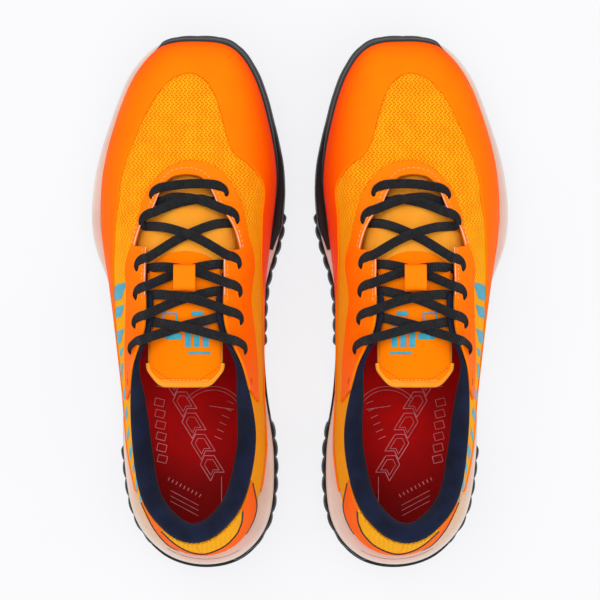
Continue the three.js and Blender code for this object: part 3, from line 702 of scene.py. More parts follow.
AGLET = plain_material("aglet_sleeve", srgb(24, 24, 27), srgb(36, 36, 40), 0.25)


# ------------------------------------------------------------------ camera, floor and light
PHOTO_LENS = 313.4
CAMERA_HEIGHT = 3.0
FLOOR_HALF = 3.0


def add_stage():
    camera_data = bpy.data.cameras.new("camera")
    camera_data.sensor_width = 36.0
    camera_data.lens = PHOTO_LENS
    camera_data.clip_end = 20.0
    camera = bpy.data.objects.new("camera", camera_data)
    camera.location = (0.0, 0.0, CAMERA_HEIGHT)
    bpy.context.scene.collection.objects.link(camera)
    bpy.context.scene.camera = camera

    mesh = bpy.data.meshes.new("floor")
    r = FLOOR_HALF
    mesh.from_pydata([(-r, -r, 0), (r, -r, 0), (r, r, 0), (-r, r, 0)], [], [(0, 1, 2, 3)])
    n = Nodes("pale_floor")
    cloud = n.noise(4.0)
    color = n.mix(cloud, srgb(248, 248, 250), srgb(252, 252, 254))
    n.feed(n.shader.inputs["Emission Color"], color)
    n.shader.inputs["Emission Strength"].default_value = 0.84
    mesh.materials.append(n.finish(n.mix(cloud, srgb(102, 102, 104), srgb(106, 106, 108)), 0.9, specular=0.1))
    floor = bpy.data.objects.new("floor", mesh)
    bpy.context.scene.collection.objects.link(floor)

    world = bpy.data.worlds.new("studio")
    world.use_nodes = True
    background = world.node_tree.nodes["Background"]
    background.inputs["Color"].default_value = (1.0, 1.0, 1.0, 1.0)
    background.inputs["Strength"].default_value = 1.0
    bpy.context.scene.world = world
    for name, where, size, power in (
        ("key_light", (-0.5, 0.7, 1.6), 0.9, 4.8),
        ("fill_light", (0.8, -0.4, 1.5), 1.1, 2.4),
    ):
        data = bpy.data.lights.new(name, "AREA")
        data.size = size
        data.energy = power
        light = bpy.data.objects.new(name, data)
        light.location = where
        light.rotation_euler = (-Vector(where)).to_track_quat("-Z", "Y").to_euler()
        bpy.context.scene.collection.objects.link(light)
    bpy.context.scene.view_settings.view_transform = "Standard"


add_stage()

# ------------------------------------------------------------------ upper
STAY_EDGE = line(
    (-8.3, 0.52), (-7.5, 0.47), (-6.9, 0.51), (-6.3, 0.58), (-5.65, 0.54), (-5.15, 0.68), (-4.4, 0.745),
    (-3.5, 0.81), (-2.4, 0.87), (-1, 0.905), (0, 0.91), (1.8, 0.92), (3.1, 0.9), (4.1, 0.865),
    (4.66, 0.85), (5.3, 0.81), (5.72, 0.7), (6.2, 0.7), (6.9, 0.64), (7.6, 0.6), (8.3, 0.62),
)
FILM_TOP = line(
    (-9.6, 0.06), (-8.3, 0.08), (-7.5, 0.1), (-6.9, 0.13), (-6.3, 0.2), (-5.65, 0.36), (-4.8, 0.44),
    (-4.15, 0.42), (-3.5, 0.56), (-2.95, 0.665), (-2.4, 0.68), (-1.87, 0.65), (-1.35, 0.6),
    (-0.9, 0.54), (-0.5, 0.48), (0, 0.43), (0.68, 0.44), (1.28, 0.475), (1.9, 0.51), (2.94, 0.535),
    (3.52, 0.53), (4.14, 0.54), (4.48, 0.555), (4.8, 0.53), (5.4, 0.48), (5.75, 0.42), (6.2, 0.36),
    (6.9, 0.24), (7.5, 0.15), (8, 0.1), (9.6, 0.06),
)
TAB_FROM, TAB_TO = 10.85, 13.76
TAB_EDGE = line(
    (TAB_FROM, 0.885), (11.05, 0.82), (11.28, 0.685), (11.66, 0.5), (12.05, 0.4), (12.5, 0.435),
    (13, 0.475), (13.4, 0.55), (13.64, 0.7), (TAB_TO, 0.885),
)
WING_FROM, WING_TO = 10.05, 14.33
WING_FOOT = line(
    (WING_FROM, 0.89), (10.2, 0.8), (10.36, 0.66), (10.5, 0.53), (10.75, 0.38), (11.05, 0.17),
    (11.35, 0.0), (13.4, 0.0), (13.84, 0.075), (14.04, 0.19), (14.14, 0.3), (14.22, 0.5),
    (14.28, 0.7), (WING_TO, 0.89),
)


def wing_top(p):
    return np.where((p < TAB_FROM) | (p > TAB_TO), 0.9, TAB_EDGE(p) + 0.02)


STAY_TOP = 0.985
OUTER_EYELETS = [
    (4.0, 0.935), (4.95, 0.91), (5.84, 0.885), (6.38, 0.865), (6.92, 0.84), (7.5, 0.83), (8.1, 0.83),
]
INNER_EYELETS = [
    (-3.98, 0.88), (-4.87, 0.835), (-5.77, 0.805), (-6.3, 0.785), (-6.83, 0.77), (-7.5, 0.8), (-8.1, 0.81),
]


def zero(p):
    return np.zeros_like(np.asarray(p, float))


def constant(value):
    return lambda p: zero(p) + value


def stay_top(p):
    """The throat's edge, with a long slanting notch on each side."""
    p = np.asarray(p, float)
    outer = np.interp(p, [4.4, 5.4, 5.47], [0, 0.15, 0])
    inner = np.interp(p, [-5.53, -5.45, -4.4], [0, 0.2, 0])
    return STAY_TOP - outer - inner


def knit():
    p = np.linspace(-HEEL, HEEL, 481)
    reach = np.where(np.abs(p) < 8.3, np.maximum(0.9, STAY_EDGE(p) + 0.03), 0.9)
    reach = np.minimum(reach, stay_top(p) - 0.012)
    vv = np.linspace(0.0, 1.0, 56)[None, :] * reach[:, None]
    pp = np.broadcast_to(p[:, None], vv.shape)
    quarter = ease(np.abs(pp), 4.9, 5.3)
    dent = -0.35 * np.exp(-(((np.abs(pp) - 9.62) / 0.05) ** 2))
    points = skin(pp, vv, dent)
    return grid(points, fabric_uv(bare_skin(pp, vv), pp), mark=quarter * 0.4)


both("knit", knit(), KNIT, ["vamp_knit", "outer_quarter", "inner_quarter", "back_knit"])


def outer_side(pp, vv, offset):
    """Marks the outer side, where the film's painted side shade stays paler down to its foot."""
    return offset, ease(pp, 0.3, 2.5)


both("welded_film", patch(-9.6, 9.6, zero, FILM_TOP, 0.8, 0.2, 1.3, shape=outer_side), FILM,
     ["toe_film", "outer_film", "inner_film"])
heel_wings = patch(WING_FROM, WING_TO, WING_FOOT, wing_top, 0.8, 0.25, 0.7)
both("heel_wings", heel_wings, WING, ["heel_film"])
heel_tab = patch(TAB_FROM, TAB_TO, TAB_EDGE, constant(0.9), 1.0, 0.4, 0.7)
both("heel_tab", heel_tab, TAB, ["heel_tab"])


def slit_shape(pp, vv, offset):
    """Punched slits with a pressed rim, and how deep inside one each point lies, which the stay's material
    paints as shade.
    """
    points = skin(pp, vv)
    offset = offset.copy()
    mark = np.zeros_like(offset)
    for p, v in OUTER_EYELETS + INNER_EYELETS:
        centre = skin(p, v)
        normal = skin_normal(np.array(p), np.array(v))
        along = np.array([0.0, 1, 0]) - normal * normal[1]
        along /= np.linalg.norm(along)
        away = points - centre
        lengthwise = np.maximum(np.abs(away @ along - 1.7) - 2.4, 0)
        across = np.linalg.norm(away - along * (away @ along)[..., None], axis=-1)
        distance = np.hypot(lengthwise, across)
        hole = 1 - ease(distance, 0.5, 1.15)
        offset += 0.28 * np.exp(-((distance - 1.7) / 0.5) ** 2) - 1.5 * hole
        # hole marks where painted shade fills the slit.
        mark = np.maximum(mark, hole)
    return offset, mark


eyestay = patch(-8.3, 8.3, STAY_EDGE, stay_top, 1.1, 0.4, 0.62, shape=slit_shape)
both("eyestay", eyestay, STAY, ["eyestay"])


def edge_run(p0, p1, v, offset, count=160):
    p = np.linspace(p0, p1, count)
    return skin(p, v(p) if callable(v) else v, offset)


pipes = [
    tapered(edge_run(p0, p1, stay_top, offset), radius) for p0, p1, offset, radius in (
        (3.3, 5.39, 1.45, 0.3), (-5.44, -3.3, 1.45, 0.3), (5.47, 6.4, 1.4, 0.26), (-6.4, -5.53, 1.4, 0.26))
]
both("throat_piping", pipes, EDGE, ["throat_piping"])
seams = []
for p0, p1, count in ((-5.42, 5.4, 300), (5.48, 6.5, 160), (-6.5, -5.54, 160)):
    seams += stitches(edge_run(p0, p1, lambda p: stay_top(p) - 0.036, 1.5, count), 1.6, 1.2, 0.2)
both("throat_stitch", seams, THREAD)


def facing():
    """The cloth under the throat's edge that shows in its notches."""
    parts = []
    for p0, p1 in ((-5.9, -4.2), (4.2, 5.9)):
        pp, vv = np.meshgrid(np.linspace(p0, p1, 40), np.linspace(0.68, 1.05, 18), indexing="ij")
        points = skin(pp, vv, -3.5 - 0.8 * ease(vv, 0.9, 1.05))
        parts.append(grid(points, fabric_uv(bare_skin(pp, vv), pp)))
    return parts


both("throat_facing", facing(), TONGUE_CLOTH)
heel_line = [
    tapered(edge_run(p0, p1, lambda p: edge(p) + 0.005, offset, count), radius)
    for p0, p1, edge, offset, count, radius in (
        (10.87, 13.74, TAB_EDGE, 1.5, 240, 0.6),
        (10.07, 11.35, WING_FOOT, 1.1, 160, 0.5),
        (13.4, 14.31, WING_FOOT, 1.1, 160, 0.5))
]
tab_middle = skin(np.full(60, 12.05), np.linspace(0.44, 0.87, 60), 1.42)
both("heel_seam", stitches(tab_middle, 1.2, 0.8, 0.16), WING)
both("heel_piping", heel_line, PIPING, ["heel_piping"])


def print_bar(p0, p1, v0, v1, lean):
    """A leaning bar printed on the quarter."""
    low = lambda p: v0 + lean * (p - p0)
    high = lambda p: v1 + lean * (p - p0)
    return patch(p0, p1, low, high, 0.16, 0.06, 0.8)


bars = [print_bar(*bar) for bar in (
    (6.02, 6.3, 0.42, 0.7, -0.5), (6.42, 6.62, 0.36, 0.62, -0.5), (6.86, 7.1, 0.26, 0.58, -0.6),
    (7.22, 7.36, 0.36, 0.52, -0.6), (7.52, 7.78, 0.18, 0.46, -0.6), (8.0, 8.16, 0.16, 0.44, 0.4),
    (8.34, 8.5, 0.22, 0.5, 0.5), (8.7, 8.82, 0.24, 0.56, 0.5), (9.0, 9.16, 0.3, 0.66, 0.5),
    (9.3, 9.42, 0.4, 0.7, 0.4), (9.54, 9.7, 0.36, 0.74, 0.4), (9.84, 9.96, 0.4, 0.7, 0.3),
)]
both("quarter_print", bars, TEAL)

# ------------------------------------------------------------------ collar
COLLAR_FROM, COLLAR_TO = 6.35, 17.65


def collar():
    p = np.linspace(COLLAR_FROM, COLLAR_TO, 330)
    front = HEEL - np.abs(p - HEEL)
    wall, depth = -2.0, -11.0
    outline = [
        (0.48, wall, 0), (0.6, wall, 0), (0.74, wall, 0), (0.85, wall, 0), (0.905, -0.4, 0), (0.95, 0.2, 0),
        (1, 0.1, 0.9), (1, -1.8, 2.6), (1, -4.4, 3.1), (1, -7.4, 1.9), (0.97, -9.8, 0), (0.92, -10.9, 0),
        (0.86, depth, 0), (0.78, -10.6, 0), (0.69, -8.8, 0), (0.6, -6.6, 0), (0.52, -4.2, 0),
    ]
    outline = np.array(outline)
    closed = np.vstack([outline[-2:], outline, outline[:3]])
    t = np.linspace(0, len(outline), 97)[:-1]
    k = np.floor(t).astype(int)
    f = (t - k)[:, None]
    a, b, c, d = (closed[k + 1 + i] for i in range(4))
    smooth = between(a, b, c, d, f)
    swell = np.interp(front, [6.35, 7.6, 8.2, 8.8, 9.4], [0.3, 0.3, 0.6, 0.9, 1.0])[:, None]
    rolled = 1 - ease(front, 7.5, 8.5)[:, None]
    tip = ease(front, COLLAR_FROM, COLLAR_FROM + 0.12)[:, None]
    v, offset, lift = smooth.T
    v = np.minimum(v, 1.0)
    strip = 1.012 + (v - 0.77) * 0.16 * (0.3 + 0.7 * tip)
    v = v + (strip - v) * rolled
    pp = np.broadcast_to(p[:, None], v.shape)
    deep = np.where(offset < wall, wall + (offset - wall) * swell, offset)
    deep = deep + (-0.4 + 0.14 * (offset - 0.2) - deep) * rolled
    points = skin(pp, v, deep)
    points[..., 2] += lift * swell * (1 - rolled)
    foot = (np.minimum(smooth[:, 0], 1.0) < 0.72) | (front[:, None] < 8.4)
    points = swollen(points, np.broadcast_to(foot, v.shape), 1.6)
    run = run_along(points[:, 40])
    girth = np.linspace(0, 62, len(v) + 1)
    uv = np.stack(np.broadcast_arrays(run[:, None], girth[None, :]), -1)
    return grid(points, uv, wrap_j=True)


def inner_wall():
    p = np.linspace(4.0, 20.0, 260)
    v = np.linspace(0.0, 0.6, 24)
    pp, vv = np.meshgrid(p, v, indexing="ij")
    over_counter = ease(HEEL - np.abs(pp - HEEL), 7.6, 8.4) * ease(-vv, -0.62, -0.54)
    return grid(skin(pp, vv, -2.1 - 1.25 * over_counter), fabric_uv(bare_skin(pp, vv), pp), flip=True)


for piece in both("collar_lining", collar(), LINING, ["collar_lining"]):
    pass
both("inner_wall", inner_wall(), LINING)

# ------------------------------------------------------------------ tongue
TONGUE_HALF, TONGUE_CROWN, TONGUE_THICK = 22.5, 7.5, 3.6


def throat_middle(rib, lift, back=0.0):
    middle = (rib_value(3, rib) + rib_value(3, -rib)) / 2
    return middle + [0, -back, lift]


SEWN = skin(0.0, 0.88, -2.1)
TONGUE_PATH = catmull([SEWN, throat_middle(3, -3), throat_middle(4, -1.2), throat_middle(5, 1.4),
                       throat_middle(6, 2.6), throat_middle(7, 2.6), throat_middle(7, 4.2, 33)], 0.5)[::-1]
TONGUE_TIP = TONGUE_PATH[0, 1]


def tongue_middle(y):
    return [np.interp(y, TONGUE_PATH[:, 1], TONGUE_PATH[:, k]) for k in (0, 2)]


def on_tongue(x, y, above=0.0):
    x, y, above = alike(x, y, above)
    mx, mz = tongue_middle(y)
    slope = (tongue_middle(y - 1)[1] - tongue_middle(y + 1)[1]) / 2
    share = (x - mx) / TONGUE_HALF
    facing = unit(np.stack([2 * TONGUE_CROWN * share / TONGUE_HALF, slope, np.ones_like(x)], -1))
    return np.stack([x, y, mz - TONGUE_CROWN * share**2], -1) + facing * above[..., None]


def pad(half_width, y_from, y_to, outer, inner, ny, power=0.45, end=1.5, soft=0.0):
    """A soft pad lying along the tongue, with rounded edges."""
    y = np.linspace(y_from, y_to, ny)
    t = (y - y_from) / (y_to - y_from)
    turn = np.linspace(0, 2 * np.pi, 56, endpoint=False)
    across = signed_power(np.cos(turn), power)
    to_end = np.clip(np.minimum(y_from - y, y - y_to) / end, 0, 1)
    half = (outer - inner) / 2 * np.sqrt(np.clip(1 - (1 - to_end) ** 2, 0.02, 1))[:, None]
    above = (outer + inner) / 2 + half * signed_power(np.sin(turn), 0.5)[None, :]
    mx = tongue_middle(y)[0]
    x = mx[:, None] + half_width(t)[:, None] * across[None, :]
    yy = np.broadcast_to(y[:, None], x.shape)
    points = on_tongue(x, yy, above)
    if soft:
        edges = (np.abs(across)[None, :] > 0.93) | (np.minimum(t, 1 - t)[:, None] < 0.04)
        points = swollen(points, np.broadcast_to(edges, x.shape), soft)
    uv = np.pad(np.stack([yy, x], -1), ((0, 0), (0, 1), (0, 0)), mode="wrap")
    return grid(points, uv, wrap_j=True)


TONGUE_LENGTH = SEWN[1] - TONGUE_TIP


def tongue_half(t):
    to_tip = (1 - t) * TONGUE_LENGTH
    taper = 13.8 + 7.6 * np.clip(to_tip / 8.5, 0, 1) ** 0.85
    return np.minimum(21.4 * np.minimum(1, 0.62 + 1.6 * t), taper)


PATCH_START = 27.0
PATCH_END = TONGUE_TIP + 3.2


def patch_half(t):
    run = t * (PATCH_START - TONGUE_TIP - 3.2)
    dome = 19.6 * np.sqrt(np.clip(1 - (1 - np.clip(run / 12, 0, 1)) ** 2, 0.002, 1))
    share = 1 - (PATCH_START - 3.2 - TONGUE_TIP - run + 3.2) / TONGUE_LENGTH
    return np.minimum(dome, tongue_half(share) - 1.4)


tongue = pad(tongue_half, SEWN[1], TONGUE_TIP, 0.0, -TONGUE_THICK, 220, soft=0.45)
for piece in both("tongue", tongue, TONGUE_CLOTH, ["tongue"], "tongue_body"):
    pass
tongue_patch = pad(patch_half, PATCH_START, PATCH_END, 0.7, -0.4, 200, 0.5, 0.8)
both("tongue_patch", tongue_patch, TONGUE_FILM, ["tongue_patch"], "tongue_body")


def binding():
    """A ribbed band folded round the tongue's free end."""
    to_tip = np.concatenate([np.linspace(11.5, 0.6, 26), np.zeros(50), np.linspace(0.6, 11.5, 26)])
    side = np.concatenate([-np.ones(26), np.linspace(-1, 1, 50), np.ones(26)])
    half = tongue_half(1 - to_tip / TONGUE_LENGTH)
    y = TONGUE_TIP + to_tip + 0.4
    path = on_tongue(tongue_middle(TONGUE_TIP)[0] + side * (half - 0.7), y, -TONGUE_THICK / 2 + 0.2)
    smooth = path.copy()
    for _ in range(14):
        smooth[1:-1] = (smooth[:-2] + 2 * smooth[1:-1] + smooth[2:]) / 4
    toward = on_tongue(tongue_middle(0)[0], TONGUE_TIP + 14, 0) - smooth
    return sweep(smooth, oval(3.6, 4.5, 16, 0.8), unit(toward))


both("tongue_binding", binding(), BINDING, ["tongue_binding"], "tongue_body")


def binding_seam():
    side = np.linspace(-0.94, 0.94, 60)
    to_tip = np.interp(np.abs(side), [0, 0.55, 0.94], [2.5, 2.5, 10.5])
    half = tongue_half(1 - to_tip / TONGUE_LENGTH) - 1.6
    return on_tongue(tongue_middle(TONGUE_TIP)[0] + side * half, TONGUE_TIP + to_tip, 0.85)


binding_stitch = stitches(binding_seam(), 1.2, 0.9, 0.2)
both("binding_stitch", binding_stitch, SEAM, body="tongue_body")


def tongue_block(x0, x1, y0, y1):
    """A small printed shape on the tongue's patch."""
    x, y = np.meshgrid(np.linspace(x0, x1, 10), np.linspace(y1, y0, 8))
    mx = tongue_middle(0)[0]
    return grid(on_tongue(x + mx, y, 1.0), np.stack([x, y], -1), flip=True)


blocks = [tongue_block(x, x + w, y, y + h) for x, w, y, h in (
    (-13, 3.2, -26, 11), (-8.2, 3.2, -26, 7), (-3.4, 3.2, -26, 11), (1.4, 9, -22, 3.4), (1.4, 9, -17, 2.2),
    (-14, 12, -30, 1.4), (4, 8, -8, 0.9), (4, 8, -13, 0.9), (4, 0.9, -13, 5.9), (11.1, 0.9, -13, 5.9),
    (-10, 6, -9, 2.6), (-10, 9, -13, 1.4))]
both("tongue_print", blocks, TEAL, body="tongue_body")

# ------------------------------------------------------------------ lace
LACE_WIDTH, LACE_THICK = 5.3, 1.2
STAY_OUT = 1.6
LACE_GAP, LACE_HALF = 0.3, 0.65
LOW_STRAND = 1.1 + LACE_GAP + LACE_HALF + 0.7
HIGH_STRAND = LOW_STRAND + 1.9
OVER_STAY = STAY_OUT + LACE_GAP + LACE_HALF
UNDER_STAY = -2.6


def beside(eyelet, inward, forward, offset):
    """A point over the stay, at a distance in plan from an eyelet."""
    spot = np.array(eyelet, float)
    wanted = skin(*spot)[:2] + [-np.sign(eyelet[0]) * inward, forward]
    for _ in range(4):
        here = skin(*spot)[:2]
        along = (skin(spot[0] + 0.01, spot[1])[:2] - here) / 0.01
        up = (skin(spot[0], spot[1] + 0.01)[:2] - here) / 0.01
        spot += np.linalg.solve(np.stack([along, up], 1), wanted - here)
    return skin(spot[0], spot[1], offset)


def through_eyelet(eyelet):
    """From the hook above an eyelet's slit down to its underside."""
    p, v = eyelet
    rise = 0.78 if abs(p) < 4.5 else 1.0
    hook = [beside(eyelet, inward, forward * rise, OVER_STAY + lift) for inward, forward, lift in (
        (7.6, 5.9, 0.3), (4.4, 5.0, 0.2), (1.7, 3.2, 0.1), (0.3, 0.9, -0.4))]
    down = [skin(p, v, offset) - [0, 0.3, 0] for offset in (0.4, -1.2)]
    return hook + down + [skin(p, v + 0.012, UNDER_STAY)]


def crossing(start_eyelet, end_eyelet, above):
    start, end = beside(start_eyelet, 7.6, 5.9, 0), skin(end_eyelet[0], 1.0)
    points = []
    for share, bow in ((0.3, 1.5), (0.52, 1.6), (0.76, 0.8)):
        spot = start + (end - start) * share
        lift = above if share == 0.52 else above + (LOW_STRAND - above) * 0.35
        points.append(on_tongue(spot[0], spot[1] + bow, lift))
    points.append(skin(end_eyelet[0], 1.0, UNDER_STAY + 0.2))
    return points


def lace_points():
    sides = [OUTER_EYELETS, INNER_EYELETS]
    last = 5

    def tail(eyelet):
        side = np.sign(eyelet[0])
        return [skin(eyelet[0] + side * 0.04, eyelet[1] - 0.1, UNDER_STAY - 1.8),
                skin(eyelet[0] + side * 0.08, eyelet[1] - 0.2, UNDER_STAY - 3.4)]

    def half(side):
        points = tail(sides[side][last])[::-1] + through_eyelet(sides[side][last])[::-1]
        for row in range(last, 0, -1):
            start = sides[side][row]
            side = 1 - side
            end = sides[side][row - 1]
            points += crossing(start, end, HIGH_STRAND if side == 0 else LOW_STRAND)
            points += through_eyelet(end)[::-1]
        return points

    first, second = half(0), half(1)[::-1]
    start, end = (beside(side[0], 7.6, 4.6, OVER_STAY + 0.3) for side in (INNER_EYELETS, OUTER_EYELETS))
    bar = [start + (end - start) * share + np.array([0, 0.9, 1.2]) * math.sin(math.pi * share)
           for share in (0.25, 0.5, 0.75)]
    return first + bar + second


def lace():
    """The lace lies flat, turns with its path and narrows where it dives into a slit."""
    path = catmull(lace_points(), 0.5)
    tangent = unit(np.gradient(path, axis=0))
    level = np.hypot(tangent[:, 0], tangent[:, 1])
    flat = level > 0.75
    index = np.arange(len(path))
    turn = np.interp(index, index[flat], np.unwrap(np.arctan2(tangent[flat, 1], tangent[flat, 0])))
    turn = smoothed(turn, 9)
    tips = np.array([skin(p, v, OVER_STAY) for p, v in OUTER_EYELETS[:6] + INNER_EYELETS[:6]])
    near = np.min(np.linalg.norm(path[:, None] - tips[None], axis=2), axis=1)
    narrow = smoothed(ease(near, -2.0, 7.0), 9)
    wide = np.stack([np.sin(turn), -np.cos(turn), np.zeros_like(turn)], 1)
    part = sweep(path, oval(LACE_WIDTH, LACE_THICK, 18, 0.7), wide)
    return shrunk(part, path, enumerate(0.42 + 0.58 * narrow))


both("lace", lace(), LACE, ["lace"])
marks = [tapered(np.array([beside(eyelet, 0, y, STAY_OUT) for y in np.linspace(-1.9, 1.9, 9)]), 0.42)
         for eyelet in (OUTER_EYELETS[6], INNER_EYELETS[6])]
both("slit_bars", marks, SEAM)


def keeper():
    y_middle = (throat_middle(5.84, 0)[1] + throat_middle(6.38, 0)[1]) / 2
    reach = 7.3
    t = np.linspace(0, 1, 40)
    y = y_middle + reach * (1 - 2 * t)
    rise = np.clip(np.minimum(t, 1 - t) * 2 * reach / 2.6, 0, 1)
    above = 1.2 + (HIGH_STRAND + 1.4) * np.sqrt(1 - (1 - rise) ** 2)
    mx = tongue_middle(y_middle)[0]
    path = on_tongue(np.full_like(y, mx), y, above)
    return sweep(path, oval(12.2, 1.0, 24, 0.35), (1, 0, 0))


both("lace_keeper", keeper(), STAY, ["lace_keeper"], "tongue_body")

# ------------------------------------------------------------------ sole
SKIN_BOTTOM = lambda y: tread(y) + 4.5
SKIN_TOP = lambda y: SKIN_BOTTOM(y) + 2.6


def sole_wall(p0, p1, columns, profile):
    """A wall round the sole. Each profile row gives a margin and a height from (p, y)."""
    p = np.linspace(p0, p1, columns)
    rows = []
    for margin, level in profile:
        edge = sole_edge(p, margin(p))
        edge[:, 2] = level(p, edge[:, 1])
        rows.append(edge)
    points = np.stack(rows, 1)
    return grid(points, points[..., 1:])


def deck(inset, level, crown=None, columns=28, rows=240, flip=False):
    """A surface across the sole between its two edges."""
    s = np.linspace(0.02, HEEL - 0.02, rows)
    outer, inner = sole_edges(s, inset)
    t = np.linspace(0, 1, columns)
    points = outer[:, None] + (inner - outer)[:, None] * t[None, :, None]
    points[..., 2] = level(s[:, None], points[..., 1])
    if crown is not None:
        points[..., 2] += crown(s[:, None], np.abs(2 * t - 1)[None, :])
    return grid(points, points[..., :2], flip=flip)


def foam_swell(p):
    """The foam shows wider beside the outer forefoot."""
    return 1.7 * ease(p, 0.7, 2.2) * ease(-p, -6.2, -5.2)


def foam_side(share, waist):
    swell = 1.0 if waist < 2 else -0.2
    margin = lambda p: sole_margin(p) - waist + swell * foam_swell(p)
    level = lambda p, y: SKIN_TOP(y) + 0.3 + (feather(p) + 0.4 - SKIN_TOP(y) - 0.3) * share
    return margin, level


foam_rows = [foam_side(s, w) for s, w in (
    (0.0, 1.6), (0.03, 1.1), (0.1, 0.9), (0.3, 0.7), (0.44, 0.55), (0.47, 0.6), (0.49, 1.0), (0.52, 1.0),
    (0.54, 0.5), (0.57, 0.35), (0.75, 0.15), (0.9, 0.0), (0.955, 0.15), (0.985, 0.6), (1.0, 1.4), (1.0, 3.2),
)]
foam = [sole_wall(-HEEL, HEEL, 520, foam_rows),
        deck(lambda p: sole_margin(p) - 3.0, lambda p, y: feather(p) + 0.4)]
both("midsole", foam, FOAM, ["midsole"])


def lug(x, y, bottom, top, size):
    turn = np.linspace(0, 2 * np.pi, 24, endpoint=False)
    hexagon = 1 / np.maximum(np.abs(np.cos(turn % (np.pi / 3) - np.pi / 6)), 0.5) * 0.88
    rows = []
    for share, grow in ((0, 0.0), (0, 0.8), (0.06, 0.9), (0.15, 0.95), (1, 1.08)):
        radius = size / 2 * grow * hexagon
        height = np.full(24, bottom + (top - bottom) * share)
        rows.append(np.stack([x + radius * np.cos(turn), y + radius * np.sin(turn), height], -1))
    return grid(np.stack(rows), wrap_j=True)


def outsole():
    lip = lambda p: sole_margin(p) + 1.0 + 1.9 * ease(np.abs(p), 9.6, 11.2)
    rows = [(lambda p, m=m: lip(p) + m, lambda p, y, h=h: SKIN_BOTTOM(y) + h) for m, h in (
        (-3.0, 0.0), (-0.8, 0.0), (-0.2, 0.25), (0.0, 0.8), (0.0, 2.0), (-0.2, 2.45),
        (-0.7, 2.6), (-3.0, 2.6))]
    parts = [sole_wall(-HEEL, HEEL, 520, rows),
             deck(lambda p: lip(p) - 2.9, lambda p, y: SKIN_BOTTOM(y), flip=True)]
    ys = np.arange(132.0, -136.0, -15.5)
    ribs = np.linspace(0.05, 11.95, 600)
    base_y = rib_value(0, ribs)[:, 1]
    for row, y in enumerate(ys):
        rib = float(np.interp(-y, -base_y, ribs))
        outer, inner = sole_edges(rib, sole_margin)
        span = outer[0] - inner[0]
        count = max(2, int(span // 17))
        for k in range(count):
            x = inner[0] + 6 + (span - 12) * k / (count - 1)
            parts.append(lug(x, y + (3 if k % 2 else -3), tread(y), tread(y) + 5.2, 11.5))
    return parts


def side_lugs(p0, p1, pitch, reach, height):
    """Scalloped rubber blocks wrapped up the side of the sole."""
    p = np.linspace(p0, p1, int((p1 - p0) * 60))
    run = run_along(sole_edge(p, 0.0))
    wave = np.abs(np.sin(np.pi * run / pitch)) ** 0.5
    ends = np.minimum(ease(run, 0, 4), ease(-run, -run[-1], -run[-1] + 4))
    rows = []
    for share, out in ((0, 0.2), (0.06, 0.75), (0.2, 1.0), (0.75, 0.9), (0.93, 0.55), (1, 0.0), (1, -1.0)):
        margin = sole_margin(p) + 0.3 + reach * out * (0.35 + 0.65 * wave) * ends
        points = sole_edge(p, margin)
        low = tread(points[:, 1]) + 1.5
        points[:, 2] = low + (height * (0.8 + 0.2 * wave)) * share
        rows.append(points)
    points = np.stack(rows, 1)
    return grid(points, points[..., 1:])


blocks = [side_lugs(*row) for row in (
    (-7.2, -4.6, 9.0, 2.4, 19), (-11.4, -8.4, 10.0, 2.2, 20), (5.95, 6.9, 9.0, 0.8, 15),
    (8.8, 10.8, 10.0, 2.0, 20))]
both("outsole", outsole() + blocks, RUBBER, ["outsole"])

RAND_TOP = line((-5.3, 0.03), (-4.5, 0.08), (-3, 0.115), (-1.5, 0.115), (0, 0.11), (0.8, 0.09), (1.2, 0.04))


def rand():
    p = np.linspace(-5.35, 1.3, 300)
    ends = np.minimum(ease(p, -5.35, -4.9), ease(-p, -1.3, -0.9))
    facet = 0.25 * np.abs(np.sin(p * 5.5)) ** 0.6
    rows = []
    for share, out in (
        (0.0, 0.3), (0.05, 0.6), (0.35, 0.6), (0.8, 0.4), (0.95, 0.1), (1.02, -0.5), (1.05, -1.0),
    ):
        points = sole_edge(p, sole_margin(p) + 0.2 + (out + facet) * ends - 1.5 * (1 - ends))
        low = SKIN_BOTTOM(points[:, 1])
        points[:, 2] = low + (feather(p) + 0.6 - low) * share
        rows.append(points)
    top = RAND_TOP(p) * ends
    for share, rise in ((0.25, 2.0), (0.5, 1.9), (0.8, 1.8), (0.93, 1.6), (1.0, 1.2), (1.0, 0.2)):
        rows.append(skin(p, top * share + 0.002, rise * ends + facet * 0.6 * ends))
    points = np.stack(rows, 1)
    return grid(points, points[..., 1:])


both("toe_rand", rand(), RUBBER, ["toe_rand"])

# ------------------------------------------------------------------ insole
INSOLE_INSET = -3.4
INSOLE_BOTTOM = 1.6
INSOLE_TOP = 6.0
INK_LIFT = 0.12


def dish(s, edge):
    return 1.3 * edge**4 - 0.5 * (1 - edge**2) * ease(s, 8, 11)


insole = [
    deck(constant(INSOLE_INSET), lambda p, y: feather(p) + INSOLE_TOP, dish, 48, 300),
    deck(constant(INSOLE_INSET), lambda p, y: feather(p) + INSOLE_BOTTOM, None, 20, 200, flip=True),
    sole_wall(-HEEL, HEEL, 420, [
        (constant(INSOLE_INSET), lambda p, y: feather(p) + INSOLE_BOTTOM),
        (constant(INSOLE_INSET + 0.25), lambda p, y: feather(p) + 3.5),
        (constant(INSOLE_INSET), lambda p, y: feather(p) + INSOLE_TOP + 1.3)]),
]
both("insole", insole, INSOLE, ["insole"], "insole_body")

RIB_LIST = np.linspace(0.05, 11.95, 900)
RIB_Y = (rib_value(0, RIB_LIST)[:, 1] + rib_value(0, -RIB_LIST)[:, 1]) / 2


def on_insole(x, y):
    x, y = alike(x, y)
    s = np.interp(-y, -RIB_Y, RIB_LIST)
    outer, inner = sole_edges(s, constant(INSOLE_INSET))
    share = np.abs(2 * (x - inner[..., 0]) / (outer[..., 0] - inner[..., 0]) - 1)
    z = feather(s) + INSOLE_TOP + dish(s, np.clip(share, 0, 1)) + INK_LIFT
    return np.stack([x, y, z], -1)


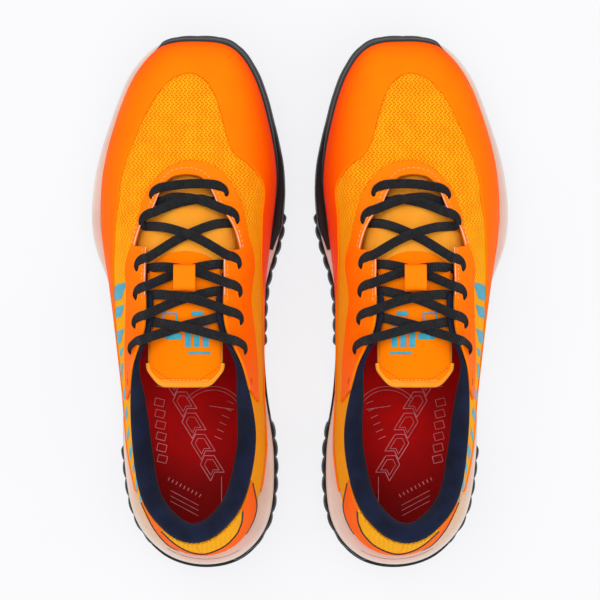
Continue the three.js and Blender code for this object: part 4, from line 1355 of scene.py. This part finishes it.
def ink(path, width):
    """A printed line on the insole."""
    tangent = unit(np.gradient(path, axis=0), 1e-9)
    side = np.stack([-tangent[:, 1], tangent[:, 0]], 1) * width / 2
    edges = [path - side, path + side]
    points = np.stack([on_insole(e[:, 0], e[:, 1]) for e in edges], 1)
    return grid(points, points[..., :2], flip=True)


def arc(cx, cy, radius, start, end, count=40):
    turn = np.radians(np.linspace(start, end, count))
    return np.stack([cx + radius * np.cos(turn), cy + radius * np.sin(turn)], 1)


def straight(x0, y0, x1, y1, count=12):
    return np.stack([np.linspace(x0, x1, count), np.linspace(y0, y1, count)], 1)


def turned(points, x, y, angle):
    c, si = math.cos(math.radians(angle)), math.sin(math.radians(angle))
    px, py = points.T
    return np.stack([x + px * c - py * si, y + px * si + py * c], 1)


def outline(corners):
    """A closed outline with points close enough together to follow the insole."""
    corners = np.vstack([corners, corners[:1]])
    return np.concatenate([straight(*a, *b, 6) for a, b in zip(corners[:-1], corners[1:])])


CHEVRON = np.array([(-4.6, -7), (0, -4), (4.6, -7), (4.6, 4), (0, 7), (-4.6, 4)])
BLOCK = np.array([(-2.6, -2), (2.6, -2), (2.6, 2), (-2.6, 2)])
art = []
for k in range(5):
    for size, width in ((1.0, 0.4), (0.62, 0.3)):
        art.append(ink(turned(outline(CHEVRON * size), -13 + 5.2 * k, -94 + 12.0 * k, -32), width))
for k in range(6):
    art.append(ink(turned(outline(BLOCK), 14.5 + 0.35 * k, -90 + 6.4 * k, 14), 0.35))
    art.append(ink(turned(straight(-2.2, 0, 2.2, 0, 4), -24 + 1.4 * k, -58 - 4 * k, 24), 0.35))
art += [ink(straight(-19, -100, -19, -117), 0.3), ink(straight(-26, -62, -12, -60), 0.35)]
art += [ink(arc(-14, -68, r, 40, 150), 0.3) for r in (17, 19)]
art += [ink(turned(straight(-9, 0, 9, 0), 2, -112 - 3 * k, 28), 0.3) for k in range(3)]
art += [ink(turned(straight(x, -1, x, 1, 3), 2, -106, 28), 0.5) for x in np.arange(-10, 11, 2.5)]
art += [ink(turned(straight(-3, 0, 3, 0, 4), 15, -44 - 2.6 * k, 8), 0.35) for k in range(3)]
both("insole_print", art, INSOLE_PRINT, body="insole_body")

# ------------------------------------------------------------------ carried-over pieces
CARRIED = {"board": BOARD, "heel_counter": BOARD, "outer_aglet": AGLET, "inner_aglet": AGLET}
for side in SIDES:
    for node, material in CARRIED.items():
        for slot in frame["nodes"][f"{side}_{node}"].material_slots:
            slot.material = material
